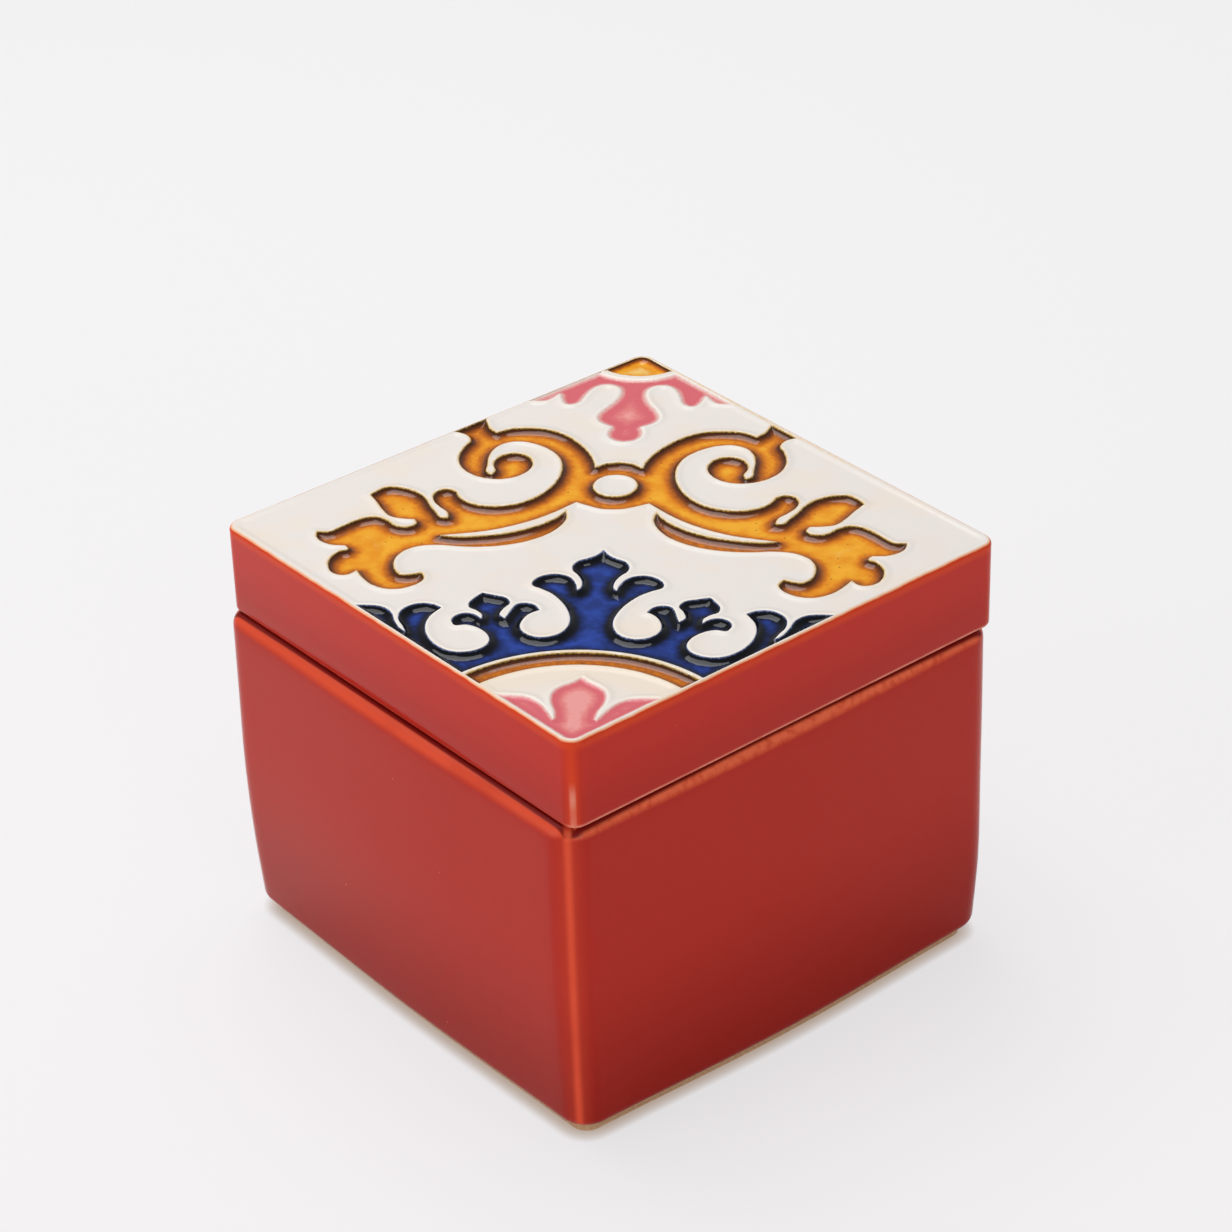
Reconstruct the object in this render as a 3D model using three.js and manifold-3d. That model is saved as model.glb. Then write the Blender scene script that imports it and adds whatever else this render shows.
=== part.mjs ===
// Glazed earthenware box with a loose, lift-off lid that carries a moulded relief tile.
// Millimetres, +Z up. The origin is on the table, under the middle of the box.
// The corner nearest the viewer of the tile's pattern is +X, -Y.

import * as THREE from 'three';
import { mergeVertices } from 'three/addons/utils/BufferGeometryUtils.js';
import Module from 'manifold-3d';

const wasm = await Module();
wasm.setup();

// Lid: the upper casting, whose side sets the size of the whole box
const lidWidth = 100;
const lidHeight = 17.8;            // rim of the pot to the tile's ridges
const lidPlate = 5;                // thickness under the tile
const lidWall = 4.5;
const lidCornerRadius = 3;
const lidTopRound = 1;
const lidLipRound = 2;             // round at the lower edge, above the joint
const lidInnerRound = 2;           // round between the plate and the skirt, inside

// Pot: the lower casting
const potHeight = 67.6;            // table to the rim that the lid sits on
const potOverhang = 0.8;           // how far its rim stands out past the lid on each side
const potTaper = 0.8;              // how far each wall leans in from the rim to the foot
const potSideBow = 0.8;            // how far the middle of a wall stands out in plan
const potWallSwell = 0.5;          // how far a wall swells half way up
const potCornerRadius = 5;         // upright corners
const potWall = 4.5;               // wall thickness
const potFloor = 5;                // floor thickness above the foot
const potRimRound = 2.6;           // outer round of the rim
const potMouthRound = 0.6;         // inner round of the rim
const potBaseRound = 5.5;          // round between the walls and the underside
const potInnerRound = 4;           // round between the inner walls and the floor

// Foot: the bare ring that the pot stands on
const footHeight = 1.8;
const footWidth = 4;
const footRound = 0.4;

// Flange: the spigot under the lid that keeps it on the pot
const flangeDrop = 4;              // how far it reaches into the mouth
const flangeClearance = 1.6;       // play to the mouth on each side, when centred
const flangeWall = 3.5;
const flangeLeadIn = 0.8;          // chamfer at its lower edge
const flangeShoulder = 4;          // height of the slope that joins it to the skirt, inside

// The lid is loose, and it lies a little off the middle of its play
const lidSeatX = 0.6;
const lidSeatY = 1.0;

// Tile relief
const rimRidge = 0.8;              // ridge that runs round the edge of the tile
const scrollDepth = 1.5;           // depth of the amber scroll's cell
const palmetteDepth = 1.5;
const ringDepth = 1.3;
const cornerDepth = 1.4;
const roseDepth = 0.9;             // depth of the two rose cells
const glazeFilm = 0.5;             // thickness of the glaze that fills a cell
const glazeGap = 0.3;              // from the glaze to its cell's walls

// Fineness of the faceted surfaces
const cornerSteps = 5;
const sideSteps = 3;
const wallSteps = 3;
const roundSteps = 3;
const curveSteps = 2;
const arcSteps = 14;
const flatEnough = 0.1;            // a point this near the line past it is left out

const finish = {
  pot: { color: 0xa8302a, roughness: 0.12, metalness: 0 },
  lid: { color: 0xebe5df, roughness: 0.12, metalness: 0 },
  amber: { color: 0xdd9018, roughness: 0.08, metalness: 0 },
  cobalt: { color: 0x22408c, roughness: 0.08, metalness: 0 },
  rose: { color: 0xd96a74, roughness: 0.15, metalness: 0 },
};

// One level ring of a square with round corners, whose sides may bow outwards
function squareRing(half, radius, z, bow = 0) {
  const flat = half - radius;
  const points = [];
  for (let side = 0; side < 4; side++) {
    const turn = (side * Math.PI) / 2;
    const place = (out, along) => points.push(new THREE.Vector3(
      out * Math.cos(turn) - along * Math.sin(turn),
      out * Math.sin(turn) + along * Math.cos(turn),
      z,
    ));
    for (let i = 1; i < sideSteps; i++) {
      const along = -1 + (2 * i) / sideSteps;
      place(half + bow * (1 - along * along), along * flat);
    }
    for (let i = 0; i <= cornerSteps; i++) {
      const angle = ((i / cornerSteps) * Math.PI) / 2;
      place(flat + radius * Math.cos(angle), flat + radius * Math.sin(angle));
    }
  }
  return points;
}

// A closed body from rings that start and end at its middle, in order along its profile
function ringBody(rings) {
  const count = rings[0].length;
  const positions = rings.flat().flatMap((point) => [point.x, point.y, point.z]);
  const index = [];
  for (let ring = 0; ring + 1 < rings.length; ring++) {
    for (let i = 0; i < count; i++) {
      const a = ring * count + i;
      const b = ring * count + ((i + 1) % count);
      index.push(a, b, b + count, a, b + count, a + count);
    }
  }
  const cap = (ring, upwards) => {
    const outline = rings[ring].map((point) => new THREE.Vector2(point.x, point.y));
    for (const face of THREE.ShapeUtils.triangulateShape(outline, [])) {
      const [a, b, c] = face.map((i) => ring * count + i);
      index.push(...(upwards ? [a, b, c] : [a, c, b]));
    }
  };
  cap(0, false);
  cap(rings.length - 1, true);
  const geometry = new THREE.BufferGeometry();
  geometry.setAttribute('position', new THREE.Float32BufferAttribute(positions, 3));
  geometry.setIndex(index);
  return geometry;
}

// Points of a quarter round, from one angle to another, as offsets from its centre
function quarter(radius, from, to) {
  const points = [];
  for (let i = 0; i <= roundSteps; i++) {
    const angle = from + ((to - from) * i) / roundSteps;
    points.push([radius * Math.cos(angle), radius * Math.sin(angle)]);
  }
  return points;
}

const quarterTurn = Math.PI / 2;
const smallestRadius = 0.5;
const fullestRound = 0.6;          // most of a wall's thickness that its outer rim round may take
const nested = (outerRadius, inset) => Math.max(outerRadius - inset, smallestRadius);

// Pot, whose rim follows the lid's side
const lidHalf = lidWidth / 2;
const rimHalf = lidHalf + potOverhang;
const footEndHalf = rimHalf - potTaper;
const footOuter = footEndHalf - potBaseRound;
const footInner = footOuter - footWidth;
const footRadius = nested(potCornerRadius, potBaseRound);
const mouthHalf = rimHalf - potWall;
const mouthRadius = nested(potCornerRadius, potWall);
const baseTop = footHeight + potBaseRound;
const rimRound = Math.min(potRimRound, potWall * fullestRound);
const rimStart = potHeight - rimRound;
const innerFloor = footHeight + potFloor;

// Outside half width of the pot's wall at a height
function potWallAt(z) {
  const share = THREE.MathUtils.clamp((z - baseTop) / (rimStart - baseTop), 0, 1);
  const fromMiddle = 2 * share - 1;
  const swell = potWallSwell * (1 - fromMiddle * fromMiddle);
  return THREE.MathUtils.lerp(footEndHalf, rimHalf, share) + swell;
}

function potGeometry() {
  const rings = [];
  const add = (half, radius, z, bow = 0) => rings.push(squareRing(half, radius, z, bow));
  add(footInner, footRadius, footHeight);
  add(footInner, footRadius, footRound);
  add(footInner + footRound, footRadius, 0);
  add(footOuter - footRound, footRadius, 0);
  add(footOuter, footRadius, footRound);
  for (const [out, up] of quarter(potBaseRound, -quarterTurn, 0)) {
    const radius = nested(potCornerRadius, potBaseRound - out);
    add(footOuter + out, radius, baseTop + up, (potSideBow * out) / potBaseRound);
  }
  for (let i = 1; i <= wallSteps; i++) {
    const z = THREE.MathUtils.lerp(baseTop, rimStart, i / wallSteps);
    add(potWallAt(z), potCornerRadius, z, potSideBow);
  }
  for (const [out, up] of quarter(rimRound, 0, quarterTurn).slice(1)) {
    const inset = rimRound - out;
    add(rimHalf - inset, nested(potCornerRadius, inset), rimStart + up, potSideBow);
  }
  const mouthTop = potHeight - potMouthRound;
  add(mouthHalf + potMouthRound, mouthRadius + potMouthRound, potHeight, potSideBow);
  add(mouthHalf, mouthRadius, mouthTop, potSideBow);
  const bendStart = innerFloor + potInnerRound;
  for (const z of [(bendStart + mouthTop) / 2, bendStart]) {
    add(potWallAt(z) - potWall, mouthRadius, z, potSideBow);
  }
  const floorHalf = potWallAt(bendStart) - potWall - potInnerRound;
  for (const [out, up] of quarter(potInnerRound, 0, -quarterTurn).slice(1)) {
    const radius = nested(mouthRadius, potInnerRound - out);
    add(floorHalf + out, radius, bendStart + up, (potSideBow * out) / potInnerRound);
  }
  return ringBody(rings);
}

// Lid
const lidTop = potHeight + lidHeight;
const plateUnderside = lidTop - lidPlate;
const flangeHalf = mouthHalf - flangeClearance;
const flangeInner = flangeHalf - flangeWall;
const flangeBottom = potHeight - flangeDrop;
const skirtInner = lidHalf - lidWall;

function lidGeometry() {
  const rings = [];
  const add = (half, radius, z) => rings.push(squareRing(half, radius, z));
  const innerRadius = nested(lidCornerRadius, lidWall);
  const bendStart = plateUnderside - lidInnerRound;
  for (const [out, up] of quarter(lidInnerRound, quarterTurn, 0)) {
    const inset = lidInnerRound - out;
    add(skirtInner - inset, nested(innerRadius, inset), bendStart + up);
  }
  add(skirtInner, innerRadius, potHeight + flangeShoulder);
  add(flangeInner, innerRadius, potHeight);
  add(flangeInner, innerRadius, flangeBottom + flangeLeadIn / 2);
  add(flangeInner + flangeLeadIn / 2, innerRadius, flangeBottom);
  add(flangeHalf - flangeLeadIn, nested(mouthRadius, flangeLeadIn), flangeBottom);
  add(flangeHalf, mouthRadius, flangeBottom + flangeLeadIn);
  add(flangeHalf, mouthRadius, potHeight);
  for (const [out, up] of quarter(lidLipRound, -quarterTurn, 0)) {
    const inset = lidLipRound - out;
    add(lidHalf - inset, nested(lidCornerRadius, inset), potHeight + lidLipRound + up);
  }
  for (const [out, up] of quarter(lidTopRound, 0, quarterTurn)) {
    const inset = lidTopRound - out;
    add(lidHalf - inset, nested(lidCornerRadius, inset), lidTop - lidTopRound + up);
  }
  return ringBody(rings);
}

// The ornament is drawn in hundredths of the tile's side, as [across, along]: along runs up the
// diagonal from the front corner and across to the right of it. Only the right half is given.
// Each row is one smooth stretch of the outline, and neighbouring rows meet in a sharp point.
const scrollOutline = [
  [[0, 96.8], [2.5, 96.3], [4.5, 94.7]],
  [[4.5, 94.7], [5, 97.2], [6.3, 100.4], [8.4, 103.7], [11.2, 106.8], [14.8, 109], [18.8, 109.6],
    [22.4, 109.2], [25.1, 107.6]],
  [[25.1, 107.6], [26.7, 109.3], [28, 113.4]],
  [[28, 113.4], [33.6, 107.8]],
  [[33.6, 107.8], [30.8, 106.4], [29.8, 104.2], [30.6, 102], [31.3, 98.6], [30.8, 95.2], [29, 92.2],
    [26.2, 90.2], [22.8, 89.5], [19.6, 90.4], [17.4, 92.6], [16.6, 95.2], [17.2, 97.6], [18.8, 99.2],
    [20.9, 99.6], [22.9, 98.7], [24.1, 96.8], [24.2, 94.9], [23.6, 92.9], [24.1, 91.4]],
  [[24.1, 91.4], [25.2, 92.4], [25.3, 95.2], [25.4, 98.2], [24.8, 101], [23.2, 103.2], [20.5, 104.2],
    [17.3, 103.5], [14.4, 101.6], [12.1, 98.9], [11, 95.6], [10.9, 92], [11.6, 88.6], [13, 85.4],
    [15, 82.7], [17.6, 80.7], [21, 79.5], [24.4, 79.5], [27.3, 80.7], [29.2, 82.6], [30, 84.5]],
  [[30, 84.5], [31.6, 85.5], [33.4, 84.9], [34.3, 83], [33.8, 80.8], [32.4, 78.7], [30.8, 76.9],
    [30.4, 74.9]],
  [[30.4, 74.9], [31.8, 75], [33, 77], [34.4, 79.4], [35.6, 82], [37.6, 84.2], [40.3, 85.6],
    [43.2, 85.9], [45, 84.6], [46.3, 82.8]],
  [[46.3, 82.8], [44.7, 80.2], [43.2, 77.4], [41.4, 75], [39, 74.2], [36.6, 74]],
  [[36.6, 74], [36.1, 72.6], [37, 71.5], [38.6, 71.2], [40.2, 71.9], [41.8, 73.6], [43.8, 74.7],
    [46.2, 74.2], [48.4, 72.5], [50.4, 70.4], [52.2, 68.9], [54.4, 68.9]],
  [[54.4, 68.9], [54.1, 66.9], [52.9, 65.3], [50.8, 64.2], [48.2, 64]],
  [[48.2, 64], [47.6, 62.8], [49.1, 61.9], [50.3, 59.8], [50.5, 57.4], [49.7, 55], [48, 53.7],
    [46.2, 53.8], [44.8, 55.3]],
  [[44.8, 55.3], [43.4, 52.9], [41.4, 50.6], [38.6, 49.2], [35.6, 49.4], [33, 51.1], [32, 53.2],
    [32.8, 55.1]],
  [[32.8, 55.1], [34.6, 54.4], [36.4, 54.3], [37.7, 55.8], [38.3, 58.2], [38, 60.8], [36.6, 63],
    [34, 64.5], [30.6, 64.9], [26.4, 64.5], [22.2, 64.6], [18.2, 65.4], [14.6, 66.9], [11.4, 69.2],
    [9.2, 72.1], [8.1, 75.2], [8.4, 78.2]],
  [[8.4, 78.2], [9.8, 75.9], [12.2, 73.4], [15.4, 71.2], [19.2, 69.5], [23.4, 68.5], [27.6, 68],
    [30.9, 68.4]],
  [[30.9, 68.4], [27, 69.2], [22.6, 70.3], [18.4, 72.1], [14.4, 74.5], [10.8, 77.4], [6.8, 81.5]],
  [[6.8, 81.5], [4.4, 80.2], [2, 79.2], [0, 79]],
];
const scrollEyeShare = 0.041;      // radius of the eye in the scrolls' link, as a share of the tile

const palmetteOutline = [
  [[0, 64.4], [1, 62.6], [2.6, 61.3], [4.2, 60.3], [5.1, 58.6], [4.9, 56.8], [3.8, 55.2], [3, 53.2],
    [2.9, 51.2], [3.5, 50.2]],
  [[3.5, 50.2], [3.9, 52.2], [4.9, 54.2], [6.5, 55.3], [8.6, 55.5], [10.6, 54.5], [11.7, 52.8],
    [11.5, 51.3], [9.8, 50.2], [7.8, 48.6], [6, 46.2], [4.7, 43.6], [3.9, 40.6], [4, 37.9],
    [5, 35.7], [6.8, 34.4], [8.8, 34.1], [10.8, 34.9], [12.1, 36.6], [12.3, 38.7], [11.6, 40.9],
    [10.6, 42.2], [9.4, 43]],
  [[9.4, 43], [10.4, 44.7], [12, 45.4], [13.6, 45], [14.4, 43.4], [14.9, 41.4], [15.3, 40.1]],
  [[15.3, 40.1], [16.3, 41.4], [15.8, 43.4], [14.9, 45.2], [15.8, 47], [17.6, 47.7], [20.2, 48.5]],
  [[20.2, 48.5], [21.4, 46.8], [22.2, 45], [21.9, 43.4], [20.6, 42.5], [19.5, 41.2], [19.4, 39.8]],
  [[19.4, 39.8], [20.6, 41.1], [22.2, 41.6], [23.7, 41], [24.6, 39.5], [24.3, 38.1], [23.6, 37.3],
    [21.8, 37.6], [19.8, 36.8], [18, 35], [17.2, 32.8], [17.7, 30.8], [19.2, 29.4], [21.3, 28.7],
    [23.5, 28.9], [25.6, 30.2], [27.3, 32.2], [28.5, 34.8], [28.9, 37.6], [28.4, 40.4],
    [26.8, 43.2]],
  [[26.8, 43.2], [28.2, 44.2], [30, 44.6], [31.8, 44.2], [33.4, 42.8], [34.1, 41], [33.9, 38.8],
    [32.9, 36.8], [32.2, 35]],
  [[32.2, 35], [33.5, 36.4], [34.6, 38.8], [35.3, 41], [36.8, 42.8], [39, 43.5], [43.5, 43.5]],
  [[43.5, 43.5], [18, 18], [0, 18]],
];
// Round edges about the front corner, as shares of the tile
const palmetteArcShare = 0.302;
const ringOuterShare = 0.294;
const ringInnerShare = 0.254;

const pendantOutline = [
  [[0, 104.7], [2, 105.3], [3.3, 107], [3.4, 108.9], [2.9, 110.7]],
  [[2.9, 110.7], [4.6, 111.8], [5.8, 113.2], [6.1, 115], [5.5, 117], [4.2, 119.4], [3.1, 121.8],
    [2.6, 124.4], [3.1, 126.4], [4.6, 127.5], [6.2, 127.5], [7.6, 126.4], [8.6, 124.4],
    [9.2, 122.2], [9.8, 120.4], [11.2, 119.3], [12.7, 119.5], [13.6, 121], [14.2, 123.5]],
  [[14.2, 123.5], [15.4, 121.6], [17, 120.5], [20.9, 120.5]],
  [[20.9, 120.5], [6, 135.4], [0, 135.4]],
];
// Round edges about the back corner, as shares of the tile: a pale ridge lies between them
const pendantArcShare = 0.106;
const cornerArcShare = 0.088;

const budOutline = [
  [[0, 21.6], [1.3, 20.2], [3, 18.9], [4.4, 17.3], [4.9, 15.2], [4.6, 12.9], [3.9, 10.8], [3.6, 8.4]],
  [[3.6, 8.4], [4.8, 10.8], [6.2, 13], [8.2, 14.8], [10.8, 15.4], [15.4, 15.4]],
  [[15.4, 15.4], [0, 0]],
];

const hundredths = (share) => share * 100;
const tileUnit = lidWidth / hundredths(1);
const backCorner = hundredths(Math.SQRT2);
const linkTop = scrollOutline[0][0][1];
const linkBottom = scrollOutline.at(-1).at(-1)[1];
const linkMiddle = (linkTop + linkBottom) / 2;

// The points of a line without those that lie almost on the line past them
function thinned(points) {
  const kept = [points[0]];
  for (let i = 1; i + 1 < points.length; i++) {
    const past = new THREE.Vector2().subVectors(points[i + 1], kept.at(-1));
    const here = new THREE.Vector2().subVectors(points[i], kept.at(-1));
    if (Math.abs(past.cross(here)) > flatEnough * past.length()) {
      kept.push(points[i]);
    }
  }
  return kept;
}

// One closed outline from the right half's stretches and their mirror image
function mirroredOutline(stretches) {
  const right = [];
  for (const stretch of stretches) {
    const points = stretch.map(([across, along]) => new THREE.Vector2(across, along));
    const steps = points.length > 3 ? curveSteps * (points.length - 1) : points.length - 1;
    right.push(...thinned(new THREE.SplineCurve(points).getPoints(steps)));
  }
  const [lastAcross, lastAlong] = stretches.at(-1).at(-1);
  right.push(new THREE.Vector2(lastAcross, lastAlong));
  const left = right.slice(1, -1).map((point) => new THREE.Vector2(-point.x, point.y)).reverse();
  return [...right, ...left];
}

// A level slab of an outline on the tile, from a depth below the ridges up to a height
function tileSlab(shape, depth, height, inset = 0) {
  const geometry = new THREE.ExtrudeGeometry(shape, {
    depth: height,
    curveSegments: arcSteps,
    bevelEnabled: inset > 0,
    bevelThickness: 0,
    bevelSize: 0,
    bevelOffset: -inset / tileUnit,
    bevelSegments: 0,
  });
  geometry.scale(tileUnit, tileUnit, 1);
  geometry.rotateZ(Math.PI / 4);
  geometry.translate(lidHalf, -lidHalf, lidTop - depth);
  return geometry;
}

function solidOf(geometry) {
  const bare = geometry.clone();
  bare.deleteAttribute('normal');
  bare.deleteAttribute('uv');
  const merged = mergeVertices(bare);
  return new wasm.Manifold(new wasm.Mesh({
    numProp: 3,
    vertProperties: new Float32Array(merged.attributes.position.array),
    triVerts: new Uint32Array(merged.index.array),
  }));
}

function geometryOf(solid) {
  const mesh = solid.getMesh();
  const geometry = new THREE.BufferGeometry();
  geometry.setAttribute('position', new THREE.BufferAttribute(mesh.vertProperties, 3));
  geometry.setIndex(new THREE.BufferAttribute(mesh.triVerts, 1));
  geometry.computeVertexNormals();
  return geometry;
}

const cutAbove = 1;                // how far a cut runs on above the ridges
const shapeOf = (stretches) => new THREE.Shape(mirroredOutline(stretches));

function disc(along, radius) {
  return new THREE.Shape().absarc(0, along, radius, 0, 2 * Math.PI);
}

// The part of the tile inside its edge ridge, from the plate's underside to above the ridges
function insideRim(inset) {
  const half = lidHalf - rimRidge - inset;
  const radius = nested(lidCornerRadius, rimRidge + inset);
  return solidOf(ringBody([
    squareRing(half, radius, plateUnderside),
    squareRing(half, radius, lidTop + cutAbove),
  ]));
}

// Each cell's body is drawn from the depth, the height and the inset of what fills it
const slab = (shape, depth, height, inset) => solidOf(tileSlab(shape, depth, height, inset));
const round = (along, share, growth, depth, height) => (
  solidOf(tileSlab(disc(along, hundredths(share) + growth / tileUnit), depth, height))
);

const cells = [
  {
    name: 'amber_scroll_glaze',
    finish: finish.amber,
    depth: scrollDepth,
    body: (depth, height, inset) => slab(shapeOf(scrollOutline), depth, height, inset)
      .subtract(round(linkMiddle, scrollEyeShare, inset, depth, height)),
  },
  {
    name: 'cobalt_palmette_glaze',
    finish: finish.cobalt,
    depth: palmetteDepth,
    body: (depth, height, inset) => slab(shapeOf(palmetteOutline), depth, height, inset)
      .subtract(round(0, palmetteArcShare, inset, depth, height)),
  },
  {
    name: 'amber_ring_glaze',
    finish: finish.amber,
    depth: ringDepth,
    body: (depth, height, inset) => round(0, ringOuterShare, -inset, depth, height)
      .subtract(round(0, ringInnerShare, inset, depth, height)),
  },
  {
    name: 'rose_bud_glaze',
    finish: finish.rose,
    depth: roseDepth,
    body: (depth, height, inset) => slab(shapeOf(budOutline), depth, height, inset),
  },
  {
    name: 'rose_pendant_glaze',
    finish: finish.rose,
    depth: roseDepth,
    body: (depth, height, inset) => slab(shapeOf(pendantOutline), depth, height, inset)
      .subtract(round(backCorner, pendantArcShare, inset, depth, height)),
  },
  {
    name: 'amber_corner_glaze',
    finish: finish.amber,
    depth: cornerDepth,
    body: (depth, height, inset) => round(backCorner, cornerArcShare, -inset, depth, height),
  },
];

function meshOf(name, geometry, look) {
  const mesh = new THREE.Mesh(geometry, new THREE.MeshStandardMaterial(look));
  mesh.name = name;
  return mesh;
}

const box = new THREE.Group();
box.add(meshOf('pot', geometryOf(solidOf(potGeometry())), finish.pot));

const lid = new THREE.Group();
lid.position.set(lidSeatX, lidSeatY, 0);
let lidBody = solidOf(lidGeometry());
for (const cell of cells) {
  const cut = cell.body(cell.depth, cell.depth + cutAbove, 0).intersect(insideRim(0));
  lidBody = lidBody.subtract(cut);
  const fill = cell.body(cell.depth, glazeFilm, glazeGap).intersect(insideRim(glazeGap));
  lid.add(meshOf(cell.name, geometryOf(fill), cell.finish));
}
lid.add(meshOf('lid', geometryOf(lidBody), finish.lid));
box.add(lid);

export default box;
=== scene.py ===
import math

import bmesh
import bpy
import numpy as np
from bpy.props import FloatProperty, FloatVectorProperty, PointerProperty
from mathutils import Matrix, Vector
from mathutils.geometry import delaunay_2d_cdt
from mathutils.kdtree import KDTree


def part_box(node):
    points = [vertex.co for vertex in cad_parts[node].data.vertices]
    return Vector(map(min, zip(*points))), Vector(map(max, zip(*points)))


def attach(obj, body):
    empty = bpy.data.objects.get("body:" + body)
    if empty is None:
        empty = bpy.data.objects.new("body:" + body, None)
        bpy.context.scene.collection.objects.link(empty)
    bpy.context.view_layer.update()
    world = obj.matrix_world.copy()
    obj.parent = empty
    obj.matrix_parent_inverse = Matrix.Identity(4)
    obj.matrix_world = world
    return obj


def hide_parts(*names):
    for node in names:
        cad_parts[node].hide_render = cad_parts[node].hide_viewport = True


bl_info = {
    "name": "Ceramic box",
    "version": (1, 0, 0),
    "blender": (4, 5, 0),
    "location": "View3D > Sidebar > Ceramic box",
    "description": "Builds a glazed earthenware box with a relief tile on its loose lid",
    "category": "Add Mesh",
}

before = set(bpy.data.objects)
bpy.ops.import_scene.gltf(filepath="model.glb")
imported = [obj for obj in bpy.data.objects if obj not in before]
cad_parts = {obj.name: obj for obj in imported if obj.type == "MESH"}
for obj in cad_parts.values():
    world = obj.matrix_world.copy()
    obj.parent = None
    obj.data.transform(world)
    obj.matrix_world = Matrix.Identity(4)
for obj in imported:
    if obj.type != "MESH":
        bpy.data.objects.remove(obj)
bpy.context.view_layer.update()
POT_LOW, POT_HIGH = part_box("pot")
LID_LOW, LID_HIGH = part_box("lid")

MM = 0.001
JOINT = POT_HIGH.z                          # the pot's rim, where the lid rests
LID_TOP = LID_HIGH.z
LID_HALF = (LID_HIGH.x - LID_LOW.x) / 2
SEAT = Vector(((LID_LOW.x + LID_HIGH.x) / 2, (LID_LOW.y + LID_HIGH.y) / 2, 0))   # under the lid's middle


def linear(colour):
    """Turns an sRGB hex colour into linear red, green, blue and alpha."""
    channels = [int(colour[i:i + 2], 16) / 255 for i in (1, 3, 5)]
    return [c / 12.92 if c <= 0.04045 else ((c + 0.055) / 1.055) ** 2.4 for c in channels] + [1.0]


def length(name, value, about):
    """A size in metres that shows in Blender's own units."""
    return FloatProperty(name=name, description=about, default=value, unit="LENGTH", precision=5)


def colour(name, value, about):
    """A colour, given as sRGB hex and kept linear."""
    return FloatVectorProperty(name=name, description=about, default=linear(value), size=4,
                               subtype="COLOR", min=0, max=1)


class BoxSizes(bpy.types.PropertyGroup):
    """Sizes of the pot, the lid and the relief."""

    pot_half: length("Pot half width", LID_HALF + 0.8 * MM, "Middle of the pot to its rim")
    pot_wall: length("Pot wall", 4.5 * MM, "Thickness of the pot's walls")
    pot_floor: length("Pot floor", 5 * MM, "Thickness of the floor above the foot")
    pot_corner: length("Pot corner", 5.4 * MM, "Radius of the upright corners")
    pot_inner_corner: length("Inner corner", 4 * MM, "Radius of the upright corners inside")
    pot_rim_round: length("Rim round", 2.6 * MM, "Outer round of the rim")
    pot_mouth_round: length("Mouth round", 0.6 * MM, "Inner round of the rim")
    pot_floor_round: length("Floor round", 3.9 * MM, "Round between the walls and the floor inside")
    pot_base_round: length("Base round", 2.2 * MM, "Round between the walls and the underside")
    pot_taper: length("Taper", 0.7 * MM, "How far a wall leans in from the rim to the foot")
    pot_bow: length("Bow", 0.8 * MM, "How far the middle of a wall stands out in plan")
    pot_swell: length("Swell", 0.5 * MM, "How far a wall swells half way up")
    foot_height: length("Foot height", 2.3 * MM, "Height of the bare ring under the pot")
    foot_width: length("Foot width", 6.5 * MM, "Width of the bare ring under the pot")
    foot_inset: length("Foot inset", 2.45 * MM, "Wall to the outside of the foot")
    foot_round: length("Foot round", 0.4 * MM, "Round on the edges of the foot")
    lid_corner: length("Lid corner", 3 * MM, "Radius of the lid's upright corners")
    lid_top_round: length("Lid top round", 0.8 * MM, "Round of the lid's upper edge")
    lid_lip_round: length("Lid lip round", 0.9 * MM, "Round of the lid's lower edge")
    lid_wall: length("Lid wall", 4.5 * MM, "Thickness of the skirt")
    lid_plate: length("Lid plate", 5 * MM, "Thickness under the tile")
    lid_inner_corner: length("Lid inner corner", 2.5 * MM, "Radius of the upright corners inside the lid")
    lid_plate_round: length("Lid plate round", 2 * MM, "Round between the skirt and the plate")
    flange_half: length("Flange half width", 44.7 * MM, "Middle of the lid to the flange's outside")
    flange_wall: length("Flange wall", 3.5 * MM, "Thickness of the flange")
    flange_corner: length("Flange corner", 3 * MM, "Radius of the flange's upright corners outside")
    flange_round: length("Flange round", 0.6 * MM, "Round of the flange's lower edges")
    flange_shoulder: length("Shoulder", 4 * MM, "Height of the slope above the flange, inside")
    rim_ridge: length("Rim ridge", 0.95 * MM, "Lid's side to the cells of the relief")
    ground_dip: length("Ground dip", 0.25 * MM, "How far the cream ground lies below its ridges")
    cell_depth: length("Cell depth", 1.0 * MM, "Ridge to the glaze in a deep cell")
    ring_depth: length("Ring depth", 0.9 * MM, "Ridge to the glaze in the ring")
    rose_depth: length("Rose depth", 0.35 * MM, "Ridge to the glaze in the rose cells")
    glaze_film: length("Glaze film", 0.3 * MM, "Thickness of the coloured glaze")


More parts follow.
